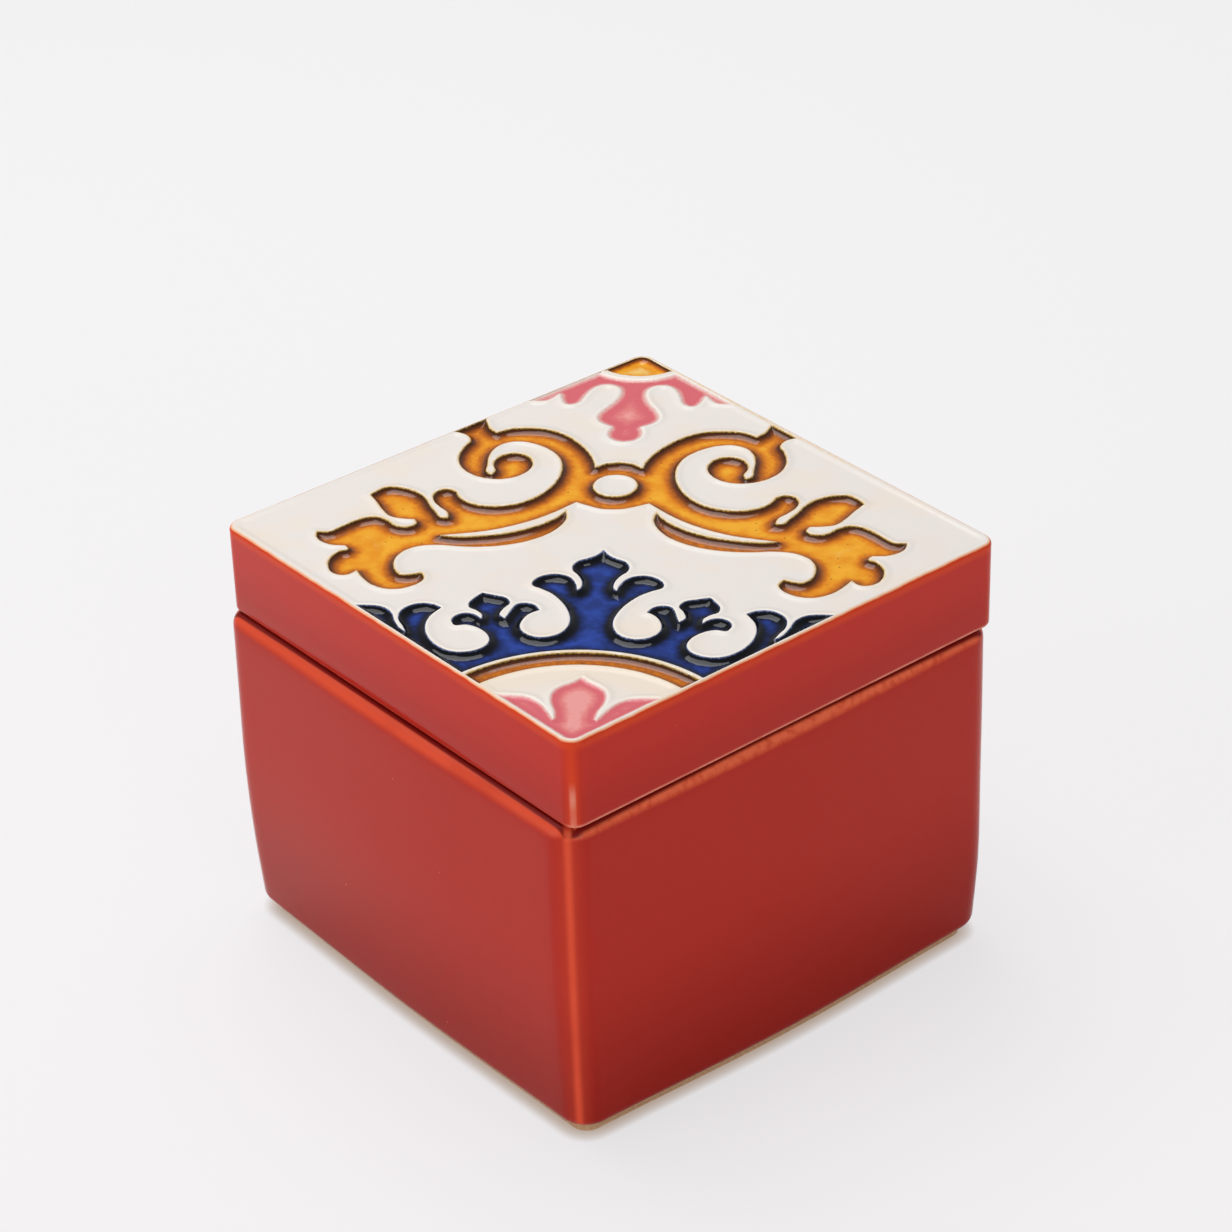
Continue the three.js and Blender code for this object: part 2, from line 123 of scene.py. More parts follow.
class BoxColours(bpy.types.PropertyGroup):
    """Colours of the glazes, the clay and the stage."""

    red: colour("Red", "#B62719", "Red glaze at its full thickness")
    # the lid's red is set lighter than the pot's red
    red_lid: colour("Lid red", "#C42C21", "Red glaze on the lid, a little thinner")
    red_thin: colour("Thin red", "#E65434", "Red glaze where it runs thin over an edge")
    red_edge: colour("Edge red", "#DC421A", "Red glaze round the tile, where it meets the cream")
    # darker red towards the bottom of the walls
    red_low_down: colour("Deep red", "#98180C", "Red glaze where it pools, low on the walls")
    # painted shade: the dark of the seam under the lid, laid on as colour
    red_seam_painted_shade: colour("Seam red", "#7E0E07", "Red glaze in the seam under the lid")
    # painted highlight: a brighter band on the rim of the pot's two X sides
    red_rim_highlight: colour("Rim red", "#FF7A52", "Red glaze on the rim where hands have worn it")
    # painted highlight on the lid's lower edge and low on its upright corners
    red_lid_highlight: colour("Worn red", "#EA947C", "Red glaze where the clay shows through it")
    red_pit: colour("Pinhole", "#D0584C", "Red glaze at a pinhole that gas left in it")
    cream: colour("Cream", "#EBE4DE", "Cream glaze of the ground")
    # painted highlight: whiter cream along the ridges
    cream_ridge_highlight: colour("Cream ridge", "#F3ECE4", "Cream glaze over a ridge")
    cream_warm: colour("Warm cream", "#F3E0C8", "Cream glaze where it lies thick")
    cream_stain: colour("Stained cream", "#E6C99A", "Cream glaze beside an amber cell")
    cream_bleed: colour("Bled cream", "#F0B48A", "Cream glaze that the red has stained, at the tile's edge")
    amber: colour("Amber", "#E6860A", "Amber glaze on a cell's floor")
    amber_pool: colour("Amber pool", "#4E240C", "Amber glaze at a wall's foot")
    amber_pale: colour("Pale amber", "#F8B42C", "Amber glaze where it lies thin on a floor")
    amber_thin: colour("Thin amber", "#F4C870", "Amber glaze where the white shows through it")
    cobalt: colour("Cobalt", "#1C3684", "Cobalt glaze on a cell's floor")
    cobalt_pool: colour("Cobalt pool", "#05080F", "Cobalt glaze at a wall's foot")
    rose: colour("Rose", "#DB6972", "Rose glaze")
    rose_pale: colour("Pale rose", "#EE9F9B", "Rose glaze in the middle of a cell")
    clay: colour("Clay", "#CCA078", "Bare clay of the foot")
    backdrop: colour("Backdrop", "#F3F4F6", "Background")
    floor: colour("Floor", "#F4F3F5", "Floor")
    floor_lit: colour("Lit floor", "#F4F2F0", "Floor where it takes light and the box's shadow")
    # painted shade on the floor in the gap under the box's edge
    floor_painted_shade: colour("Floor beside the foot", "#B6A290", "Floor in the narrow gap under the box's edge")


# The ornament, in hundredths of the tile's side, as (across, along): along runs up the diagonal
# from the front corner and across to the right of it. Each row is one smooth stretch of the right
# half's outline, and neighbouring rows meet in a sharp point.
SCROLLS = [
    [(0, 96.8), (2.5, 96.3), (4.5, 94.7)],
    [(4.5, 94.7), (5, 97.2), (6.3, 100.4), (8.4, 103.7), (11.2, 106.8), (14.8, 109), (18.8, 109.6),
     (22.4, 109.2), (25.1, 107.6)],
    [(25.1, 107.6), (26.7, 109.3), (28, 113.4)],
    [(28, 113.4), (33.6, 107.8)],
    [(33.6, 107.8), (30.8, 106.4), (29.8, 104.2), (30.6, 102), (31.3, 98.6), (30.8, 95.2), (29, 92.2),
     (26.2, 90.2), (22.8, 89.5), (19.6, 90.4), (17.4, 92.6), (16.6, 95.2), (17.2, 97.6), (18.8, 99.2),
     (20.9, 99.6), (22.9, 98.7), (24.1, 96.8), (24.2, 94.9), (23.6, 92.9), (24.1, 91.4)],
    [(24.1, 91.4), (25.2, 92.4), (25.3, 95.2), (25.4, 98.2), (24.8, 101), (23.2, 103.2), (20.5, 104.2),
     (17.3, 103.5), (14.4, 101.6), (12.1, 98.9), (11, 95.6), (10.9, 92), (11.6, 88.6), (13, 85.4),
     (15, 82.7), (17.6, 80.7), (21, 79.5), (24.4, 79.5), (27.3, 80.7), (29.2, 82.6), (30, 84.5)],
    [(30, 84.5), (31.6, 85.5), (33.4, 84.9), (34.3, 83), (33.8, 80.8), (32.4, 78.7), (30.8, 76.9),
     (30.4, 74.9)],
    [(30.4, 74.9), (31.8, 75), (33, 77), (34.4, 79.4), (35.6, 82), (37.6, 84.2), (40.3, 85.6),
     (43.2, 85.9), (45, 84.6), (46.3, 82.8)],
    [(46.3, 82.8), (44.7, 80.2), (43.2, 77.4), (41.4, 75), (39, 74.2), (36.6, 74)],
    [(36.6, 74), (36.1, 72.6), (37, 71.5), (38.6, 71.2), (40.2, 71.9), (41.8, 73.6), (43.8, 74.7),
     (46.2, 74.2), (48.4, 72.5), (50.4, 70.4), (52.2, 68.9), (54.4, 68.9)],
    [(54.4, 68.9), (54.1, 66.9), (52.9, 65.3), (50.8, 64.2), (48.2, 64)],
    [(48.2, 64), (47.6, 62.8), (49.1, 61.9), (50.3, 59.8), (50.5, 57.4), (49.7, 55), (48, 53.7),
     (46.2, 53.8), (44.8, 55.3)],
    [(44.8, 55.3), (43.4, 52.9), (41.4, 50.6), (38.6, 49.2), (35.6, 49.4), (33, 51.1), (32, 53.2),
     (32.8, 55.1)],
    [(32.8, 55.1), (34.6, 54.4), (36.4, 54.3), (37.7, 55.8), (38.3, 58.2), (38, 60.8), (36.6, 63),
     (34, 64.5), (30.6, 64.9), (26.4, 64.5), (22.2, 64.6), (18.2, 65.4), (14.6, 66.9), (11.4, 69.2),
     (9.2, 72.1), (8.1, 75.2), (8.4, 78.2)],
    [(8.4, 78.2), (9.8, 75.9), (12.2, 73.4), (15.4, 71.2), (19.2, 69.5), (23.4, 68.5), (27.6, 68),
     (30.9, 68.4)],
    [(30.9, 68.4), (27, 69.2), (22.6, 70.3), (18.4, 72.1), (14.4, 74.5), (10.8, 77.4), (6.8, 81.5)],
    [(6.8, 81.5), (4.4, 80.2), (2, 79.2), (0, 79)],
]
PALMETTE = [
    [(0, 64.4), (1, 62.6), (2.6, 61.3), (4.2, 60.3), (5.1, 58.6), (4.9, 56.8), (3.8, 55.2), (3, 53.2),
     (2.9, 51.2), (3.5, 50.2)],
    [(3.5, 50.2), (3.9, 52.2), (4.9, 54.2), (6.5, 55.3), (8.6, 55.5), (10.6, 54.5), (11.7, 52.8),
     (11.5, 51.3), (9.8, 50.2), (7.8, 48.6), (6, 46.2), (4.7, 43.6), (3.9, 40.6), (4, 37.9), (5, 35.7),
     (6.8, 34.4), (8.8, 34.1), (10.8, 34.9), (12.1, 36.6), (12.3, 38.7), (11.6, 40.9), (10.6, 42.2),
     (9.4, 43)],
    [(9.4, 43), (10.4, 44.7), (12, 45.4), (13.6, 45), (14.4, 43.4), (14.9, 41.4), (15.3, 40.1)],
    [(15.3, 40.1), (16.3, 41.4), (15.8, 43.4), (14.9, 45.2), (15.8, 47), (17.6, 47.7), (20.2, 48.5)],
    [(20.2, 48.5), (21.4, 46.8), (22.2, 45), (21.9, 43.4), (20.6, 42.5), (19.5, 41.2), (19.4, 39.8)],
    [(19.4, 39.8), (20.6, 41.1), (22.2, 41.6), (23.7, 41), (24.6, 39.5), (24.3, 38.1), (23.6, 37.3),
     (21.8, 37.6), (19.8, 36.8), (18, 35), (17.2, 32.8), (17.7, 30.8), (19.2, 29.4), (21.3, 28.7),
     (23.5, 28.9), (25.6, 30.2), (27.3, 32.2), (28.5, 34.8), (28.9, 37.6), (28.4, 40.4), (26.8, 43.2)],
    [(26.8, 43.2), (28.2, 44.2), (30, 44.6), (31.8, 44.2), (33.4, 42.8), (34.1, 41), (33.9, 38.8),
     (32.9, 36.8), (32.2, 35)],
    [(32.2, 35), (33.5, 36.4), (34.6, 38.8), (35.3, 41), (36.8, 42.8), (39, 43.5), (43.5, 43.5)],
    [(43.5, 43.5), (18, 18), (0, 18)],
]
PENDANT = [
    [(0, 104.7), (2, 105.3), (3.3, 107), (3.4, 108.9), (2.9, 110.7)],
    [(2.9, 110.7), (4.6, 111.8), (5.8, 113.2), (6.1, 115), (5.5, 117), (4.2, 119.4), (3.1, 121.8),
     (2.6, 124.4), (3.1, 126.4), (4.6, 127.5), (6.2, 127.5), (7.6, 126.4), (8.6, 124.4), (9.2, 122.2),
     (9.8, 120.4), (11.2, 119.3), (12.7, 119.5), (13.6, 121), (14.2, 123.5)],
    [(14.2, 123.5), (15.4, 121.6), (17, 120.5), (20.9, 120.5)],
    [(20.9, 120.5), (6, 135.4), (0, 135.4)],
]
BUD = [
    [(0, 21.6), (1.3, 20.2), (3, 18.9), (4.4, 17.3), (4.9, 15.2), (4.6, 12.9), (3.9, 10.8), (3.6, 8.4)],
    [(3.6, 8.4), (4.8, 10.8), (6.2, 13), (8.2, 14.8), (10.8, 15.4), (15.4, 15.4)],
    [(15.4, 15.4), (0, 0)],
]
LEFT_SCROLL = 0.975                         # the left scroll's width as a share of the right one's
BACK_CORNER = 100 * math.sqrt(2)            # along the diagonal

# Round edges, as (place along the diagonal, radius)
EYE = (87.9, 4.1)
PALMETTE_ARC = (0, 30.2)
RING_OUTER = (0, 29.4)
RING_INNER = (0, 25.4)
PENDANT_ARC = (BACK_CORNER, 11.6)
BACK_DISC = (BACK_CORNER, 10)

# Each cell of the relief: the outlines that it lies in, and the one that is cut out of it
CELLS = {
    "amber_scroll": ("scrolls", "eye"),
    "cobalt_palmette": ("palmette", "palmette_arc"),
    "amber_ring": ("ring_outer", "ring_inner"),
    "rose_bud": ("bud", None),
    "rose_pendant": ("pendant", "pendant_arc"),
    "amber_corner": ("back_disc", None),
}
ROSE_CELLS = ("rose_bud", "rose_pendant")

# How many times sooner than elsewhere a cell's glaze pales away from its ridge
PALES = {"amber_corner": 2.7, "rose_pendant": 0.55}

# The relief's points, in millimetres
OUTLINE_STEP = 0.35                         # between points of an outline
RIDGE_ROWS = (0.07, 0.2, 0.38, 0.6, 0.85, 1.15, 1.5)   # from a ridge to the rows of points beside it
RIM_ROWS = (0.25, 0.6, 1.0, 1.5)            # from the rim's ridge to the rows of points inside it
ROW_CLEAR = 0.92                            # share of that distance which a row keeps from other ridges
GRID_STEP = 0.9                             # between points of the level parts
LOOSE_APART = 0.13                          # of the loose points in a square of this side, one stays
TREE_STEP = 0.1                             # between samples of a ridge, when the nearest is looked for
WELD = 0.01                                 # points nearer than this become one
ON_RIDGE = 0.001                            # points nearer than this to a ridge lie on it
FAR_OFF = 5.0                               # distance from a ridge that the lid's sides are given

# The relief's section, in millimetres below the lid's top
CREST = 0.08                                # fall of a ridge from its line to the glaze beside it
CREST_WIDE = 0.3                            # width of that fall
EDGE_EASE = 0.12                            # from the tile's edge to where a ridge has that fall
GROUND_WIDE = 1.6                           # from a ridge to where the cream ground lies level
ROSE_WIDE = 1.2                             # from a ridge to where a rose cell's floor lies level
RING_WALL = (math.radians(58), 1.75)        # steepest slope and radius of the ring's walls
CELL_WALL = (math.radians(55), 2.15)        # the same of the other deep cells
FILM_EDGE = 0.6                             # thickness of the glaze for each millimetre from a ridge
FILM_GAP = 0.02                             # from the glaze's underside to the clay
FILM_LEAST = 0.003                          # thickness of the glaze on a ridge
AMBER_STAIN = 0.6                           # how far an amber cell stains the cream
RIDGE_REACH = 3.0                           # from a ridge to where a glaze has its last colour

# How far the kiln pulled the pot along X and Y, in millimetres, by (x side, y side), at up to five
# levels from the foot to the rim
KILN_WARP = {
    (-1, -1): ((0.1, 1.2), (0.25, 0.45), (0.8, 0), (0.9, 0), (0.9, 0)),
    (0, -1): ((0.2, 0.9), (0.1, 0.45)),
    (1, -1): ((0, 0.85), (0, 0.4)),
    (1, 0): ((1.5, 0.2), (0.8, 0.1)),
    (1, 1): ((1.3, -1.1), (0.95, -0.15)),
}
LID_PULL = Vector((0.6, 1.0, 0)) * MM       # how far it pulled the lid's back corner

SAME_LEVEL = 0.01 * MM                      # heights nearer than this are the same
CREASE = math.radians(80)                   # edges sharper than this stay sharp in the shading


def deselect_all():
    """Leaves edit mode and selects nothing."""
    if bpy.context.mode != "OBJECT":
        bpy.ops.object.mode_set(mode="OBJECT")
    bpy.ops.object.select_all(action="DESELECT")


def use(piece):
    """Makes a piece the only selected and the active object."""
    deselect_all()
    piece.select_set(True)
    bpy.context.view_layer.objects.active = piece


def add_block(name, low, high):
    """A block between two corners, left in edit mode."""
    deselect_all()
    bpy.ops.mesh.primitive_cube_add(size=1, location=(low + high) / 2, scale=high - low)
    block = bpy.context.object
    block.name = block.data.name = name
    bpy.ops.object.transform_apply(location=True, rotation=True, scale=True)
    bpy.ops.object.mode_set(mode="EDIT")
    return block


def select_parts(piece, kind, test):
    """In edit mode, selects only the faces or edges that pass a test."""
    bpy.ops.mesh.select_mode(type=kind)
    bpy.ops.mesh.select_all(action="DESELECT")
    mesh = bmesh.from_edit_mesh(piece.data)
    chosen = [part for part in (mesh.faces if kind == "FACE" else mesh.edges) if test(part)]
    if not chosen:
        raise RuntimeError(f"{piece.name}: nothing passes the test for the next step")
    for part in chosen:
        part.select_set(True)
    bmesh.update_edit_mesh(piece.data)


def reach(point):
    """How far out a point is from the upright axis, measured square."""
    return max(abs(point.x), abs(point.y))


def level_face(z, least=0.0, most=math.inf):
    """A test for level faces at a height, whose corners lie between two distances out."""
    def test(face):
        return all(abs(v.co.z - z) < SAME_LEVEL and least <= reach(v.co) <= most for v in face.verts)
    return test


def upright_edge(least, most):
    """A test for upright edges between two distances out."""
    def test(edge):
        a, b = (v.co for v in edge.verts)
        upright = (a - b).xy.length < SAME_LEVEL < abs(a.z - b.z)
        return upright and least <= reach(a) <= most
    return test


def level_edge(z, least, most):
    """A test for level edges at a height, between two distances out."""
    def test(edge):
        return all(abs(v.co.z - z) < SAME_LEVEL and least <= reach(v.co) <= most for v in edge.verts)
    return test


def inside_corner(inner, skirt):
    """A test for the upright and sloping edges in the corners of the lid's inside."""
    def test(edge):
        a, b = (v.co for v in edge.verts)
        on_wall = all(min(abs(reach(p) - inner), abs(reach(p) - skirt)) < 0.1 * MM for p in (a, b))
        return on_wall and abs(a.z - b.z) > 0.5 * MM
    return test


def sink_face(piece, test, inset, depth):
    """Insets the faces that pass a test and moves what is left inside up or down."""
    select_parts(piece, "FACE", test)
    bpy.ops.mesh.inset(thickness=inset, use_even_offset=True)
    bpy.ops.mesh.extrude_region_move(TRANSFORM_OT_translate={"value": (0, 0, depth)})


def step_face(piece, test, shrink, height):
    """Shrinks the faces that pass a test towards the middle and moves what is left up or down."""
    select_parts(piece, "FACE", test)
    bpy.ops.mesh.extrude_region_move(TRANSFORM_OT_translate={"value": (0, 0, 0)})
    bpy.ops.transform.resize(value=(shrink, shrink, 1), center_override=(0, 0, 0))
    bpy.ops.mesh.extrude_region_move(TRANSFORM_OT_translate={"value": (0, 0, height)})


def round_edges(piece, test, radius, segments):
    """Rounds the edges that pass a test."""
    select_parts(piece, "EDGE", test)
    bpy.ops.mesh.bevel(offset_type="OFFSET", offset=radius, segments=segments, profile=0.5,
                       affect="EDGES", clamp_overlap=True)


def slice_across(piece, axis, places):
    """Cuts rings of edges across a piece, so that its long faces can bend."""
    normal = Vector((0, 0, 0))
    normal[axis] = 1
    bpy.ops.mesh.select_mode(type="VERT")
    for place in places:
        bpy.ops.mesh.select_all(action="SELECT")
        bpy.ops.mesh.bisect(plane_co=normal * place, plane_no=normal)


def pull_back_corner(piece):
    """Pulls the back corner of the lid's top, less and less towards the other corners and the rim.

    It is a formula and no lattice, so that the lid and each pool of glaze in it move exactly alike."""
    for vertex in piece.data.vertices:
        x, y = (vertex.co - SEAT).xy / LID_HALF
        share = (1 - x) * (1 + y) / 4
        raised = max(vertex.co.z - JOINT, 0) / (LID_TOP - JOINT)
        vertex.co += LID_PULL * share ** 4 * raised


def bare_below(piece, z):
    """Gives the faces below a height the piece's second material, which is the bare clay."""
    use(piece)
    bpy.ops.object.mode_set(mode="EDIT")
    select_parts(piece, "FACE", lambda face: face.calc_center_median().z < z)
    piece.active_material_index = 1
    bpy.ops.object.material_slot_assign()
    bpy.ops.object.mode_set(mode="OBJECT")


class BOX_OT_make_pot(bpy.types.Operator):
    """Make the pot, a bowed square casting on a bare clay foot"""

    bl_idname = "ceramic_box.make_pot"
    bl_label = "Make pot"

    def execute(self, context):
        sizes = context.scene.box_sizes
        half = sizes.pot_half
        mouth = half - sizes.pot_wall
        underside = sizes.foot_height
        foot = half - sizes.foot_inset
        floor = underside + sizes.pot_floor
        pot = add_block("pot_casting", Vector((-half, -half, underside)), Vector((half, half, JOINT)))
        sink_face(pot, level_face(JOINT), sizes.pot_wall, floor - JOINT)
        apart = sizes.pot_wall / 2
        round_edges(pot, upright_edge(half - apart, half + apart), sizes.pot_corner, 10)
        round_edges(pot, upright_edge(mouth - apart, mouth + apart), sizes.pot_inner_corner, 8)
        round_edges(pot, level_edge(JOINT, half - apart, half), sizes.pot_rim_round, 7)
        round_edges(pot, level_edge(JOINT, 0, mouth), sizes.pot_mouth_round, 3)
        round_edges(pot, level_edge(floor, mouth - apart, mouth), sizes.pot_floor_round, 7)
        round_edges(pot, level_edge(underside, half - apart, half), sizes.pot_base_round, 8)

        # close points in the corners of the underside would cross when it shrinks to the foot
        select_parts(pot, "FACE", level_face(underside))
        bpy.ops.mesh.remove_doubles(threshold=0.25 * MM)
        bottom = half - sizes.pot_base_round
        step_face(pot, level_face(underside), foot / bottom, -sizes.foot_height)
        step_face(pot, level_face(0), 1 - sizes.foot_width / foot, sizes.foot_height)
        round_edges(pot, level_edge(0, 0, half), sizes.foot_round, 2)
        bpy.ops.mesh.select_all(action="SELECT")
        bpy.ops.mesh.remove_doubles(threshold=SAME_LEVEL)

        # the walls need edges across them before they can bow
        across = np.linspace(-0.86, 0.86, 13) * half
        for axis, places in enumerate((across, across, np.linspace(10 * MM, JOINT - 5 * MM, 10))):
            slice_across(pot, axis, places)
        bpy.ops.object.mode_set(mode="OBJECT")
        self.bow_walls(pot, sizes)
        pot.data.materials.append(red_glaze(context))
        pot.data.materials.append(bare_clay(context))
        bare_below(pot, sizes.foot_height - 0.2 * MM)
        bpy.ops.object.shade_smooth()
        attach(pot, "base")
        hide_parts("pot")
        return {"FINISHED"}

    def bow_walls(self, pot, sizes):
        """Bows and swells the walls and leans them in towards the foot, with a lattice."""
        half = sizes.pot_half
        deselect_all()
        bpy.ops.object.add(type="LATTICE", location=(0, 0, JOINT / 2))
        lattice = bpy.context.object
        lattice.scale = (2 * half, 2 * half, JOINT)
        bpy.context.view_layer.update()
        data = lattice.data
        data.points_u = data.points_v = 3
        data.points_w = 5
        data.interpolation_type_u = data.interpolation_type_v = "KEY_CATMULL_ROM"
        data.interpolation_type_w = "KEY_CATMULL_ROM"
        for point in data.points:
            side = (round(2 * point.co.x), round(2 * point.co.y))
            number = round((data.points_w - 1) * (point.co.z + 0.5))
            level = number / 2 - 1          # -1 at the foot, 1 at the rim
            lean = sizes.pot_taper * (1 - level) / 2
            swell = sizes.pot_swell * (1 - abs(level) ** 1.2)
            pulls = KILN_WARP.get(side, ())
            warp = pulls[number] if number < len(pulls) else (0, 0)
            for axis in (0, 1):
                bow = sizes.pot_bow * (1 - abs(side[1 - axis]))
                shift = side[axis] * (bow + swell - lean) + warp[axis] * MM
                point.co_deform[axis] = point.co[axis] + shift / (2 * half)
        use(pot)
        bpy.ops.object.modifier_add(type="LATTICE")
        pot.modifiers["Lattice"].object = lattice
        bpy.ops.object.modifier_apply(modifier="Lattice")
        use(lattice)
        bpy.ops.object.delete()


def smooth_line(points):
    """Close points along a row of the ornament: a Catmull-Rom line, or straight ones if it is short."""
    points = np.array(points, float)
    if len(points) <= 3:
        runs = []
        for a, b in zip(points, points[1:]):
            steps = max(1, math.ceil(np.linalg.norm(b - a) / OUTLINE_STEP))
            runs.append(np.linspace(a, b, steps, endpoint=False))
        return np.vstack([*runs, points[-1:]])
    padded = np.vstack([points[:1], points, points[-1:]])
    line = []
    for p0, p1, p2, p3 in zip(padded, padded[1:], padded[2:], padded[3:]):
        steps = max(2, math.ceil(np.linalg.norm(p2 - p1) / OUTLINE_STEP))
        t = np.linspace(0, 1, steps, endpoint=False)[:, None]
        start, end = (p2 - p0) / 2, (p3 - p1) / 2
        line.append((2 * p1 - 2 * p2 + start + end) * t ** 3
                    + (3 * p2 - 3 * p1 - 2 * start - end) * t ** 2 + start * t + p1)
    return np.vstack([*line, points[-1:]])


def mirrored_outline(rows, left=1.0):
    """A closed outline from the right half's rows and their mirror image, which may be narrower."""
    right = np.vstack([smooth_line(row)[:-1] for row in rows] + [np.array(rows[-1][-1:], float)])
    mirrored = right[1:-1] * (-left, 1)
    return np.vstack([right, mirrored[::-1]])


def round_outline(along, radius):
    """A circle about a place on the diagonal."""
    steps = math.ceil(2 * math.pi * radius / OUTLINE_STEP)
    turn = np.linspace(0, 2 * math.pi, steps, endpoint=False)
    return np.column_stack([radius * np.cos(turn), along + radius * np.sin(turn)])


def on_tile(outline):
    """From (across, along) in hundredths of the tile to millimetres about the tile's middle."""
    across, along = outline[:, 0], outline[:, 1]
    unit = 2 * LID_HALF / MM / 100
    x = (across - along) / math.sqrt(2) * unit + LID_HALF / MM
    y = (across + along) / math.sqrt(2) * unit - LID_HALF / MM
    return np.column_stack([x, y])


def into_square(points, half, radius):
    """Moves points outside a square with round corners onto its edge, a grid step apart."""
    outside = depth_in_square(points, half, radius)[:, None] < 0
    points = np.where(outside, np.round(points / GRID_STEP) * GRID_STEP, points)
    core = np.clip(points, radius - half, half - radius)
    offset = points - core
    far = np.linalg.norm(offset, axis=1, keepdims=True)
    return core + offset * np.minimum(1, radius / np.maximum(far, 1e-9))


def depth_in_square(points, half, radius):
    """How far points lie inside a square with round corners."""
    offset = np.abs(points) - (half - radius)
    outside = np.linalg.norm(np.maximum(offset, 0), axis=1)
    return radius - outside - np.minimum(offset.max(axis=1), 0)


def square_outline(half, radius, step):
    """Points along a square with round corners, anticlockwise."""
    turn = np.linspace(0, math.pi / 2, max(3, math.ceil(radius * math.pi / 2 / step)))
    flat = half - radius
    corner = np.column_stack([flat + radius * np.cos(turn), flat + radius * np.sin(turn)])
    steps = math.ceil(2 * flat / step)
    side = np.linspace((flat, half), (-flat, half), steps, endpoint=False)[1:]
    quarter = np.vstack([corner, side])
    quarters = [quarter]
    for _ in range(3):
        quarters.append(np.column_stack([-quarters[-1][:, 1], quarters[-1][:, 0]]))
    return np.vstack(quarters)


def triangulate(outlines, loose):
    """Fills the plane between outlines and loose points with triangles.

    Gives the points, the triangles and, for each triangle, the names of the outlines it lies in."""
    points, faces = [], []
    for outline in outlines.values():
        x, y = outline.T
        if np.sum(x * np.roll(y, -1) - y * np.roll(x, -1)) < 0:
            outline = outline[::-1]
        faces.append(list(range(len(points), len(points) + len(outline))))
        points.extend(map(Vector, outline))
    points.extend(map(Vector, loose))
    places, _, triangles, _, _, owners = delaunay_2d_cdt(points, [], faces, 0, WELD, True)
    names = list(outlines)
    inside = [{names[i] for i in found} for found in owners]
    return np.array([tuple(place) for place in places]), np.array(triangles), inside


def cell_of(inside):
    """The cell, the ground or the outside that a triangle belongs to."""
    if "tile" not in inside:
        return "outside"
    if "rim" in inside:
        for cell, (drawn, cut_out) in CELLS.items():
            if drawn in inside and cut_out not in inside:
                return cell
    return "ground"


def borders(points, triangles, cells):
    """Edges between triangles of different cells, as pairs of end points."""
    sides = {}
    for triangle, cell in zip(triangles, cells):
        for a, b in zip(triangle, np.roll(triangle, -1)):
            sides.setdefault((min(a, b), max(a, b)), set()).add(cell)
    edges = [pair for pair, found in sides.items() if len(found) > 1 and "outside" not in found]
    return points[np.array(edges)]


def ridge_tree(edges):
    """A tree that finds the nearest point of the ridges."""
    samples = []
    for a, b in edges:
        count = max(1, math.ceil(np.linalg.norm(b - a) / TREE_STEP))
        samples.append(np.linspace(a, b, count + 1))
    samples = np.vstack(samples)
    tree = KDTree(len(samples))
    for i, (x, y) in enumerate(samples):
        tree.insert((x, y, 0), i)
    tree.balance()
    return tree


def from_ridge(tree, points):
    """Distance in millimetres from each point to the nearest ridge."""
    return np.array([tree.find((x, y, 0))[2] for x, y in points])


def smooth(value, low, high):
    """Rises softly from 0 at the low value to 1 at the high one."""
    share = np.clip((value - low) / (high - low), 0, 1)
    return share * share * (3 - 2 * share)


def scoop(distance, depth, steepest, hollow):
    """Height in a cell: a round wall of one radius from its steepest slope down to the floor."""
    width = hollow * math.sin(steepest)
    fall = hollow * (1 - math.cos(steepest))
    left = np.clip(width - distance, 0, None)
    wall = np.sqrt(np.maximum(hollow ** 2 - left ** 2, 0))
    return -depth * (wall - hollow * math.cos(steepest)) / fall


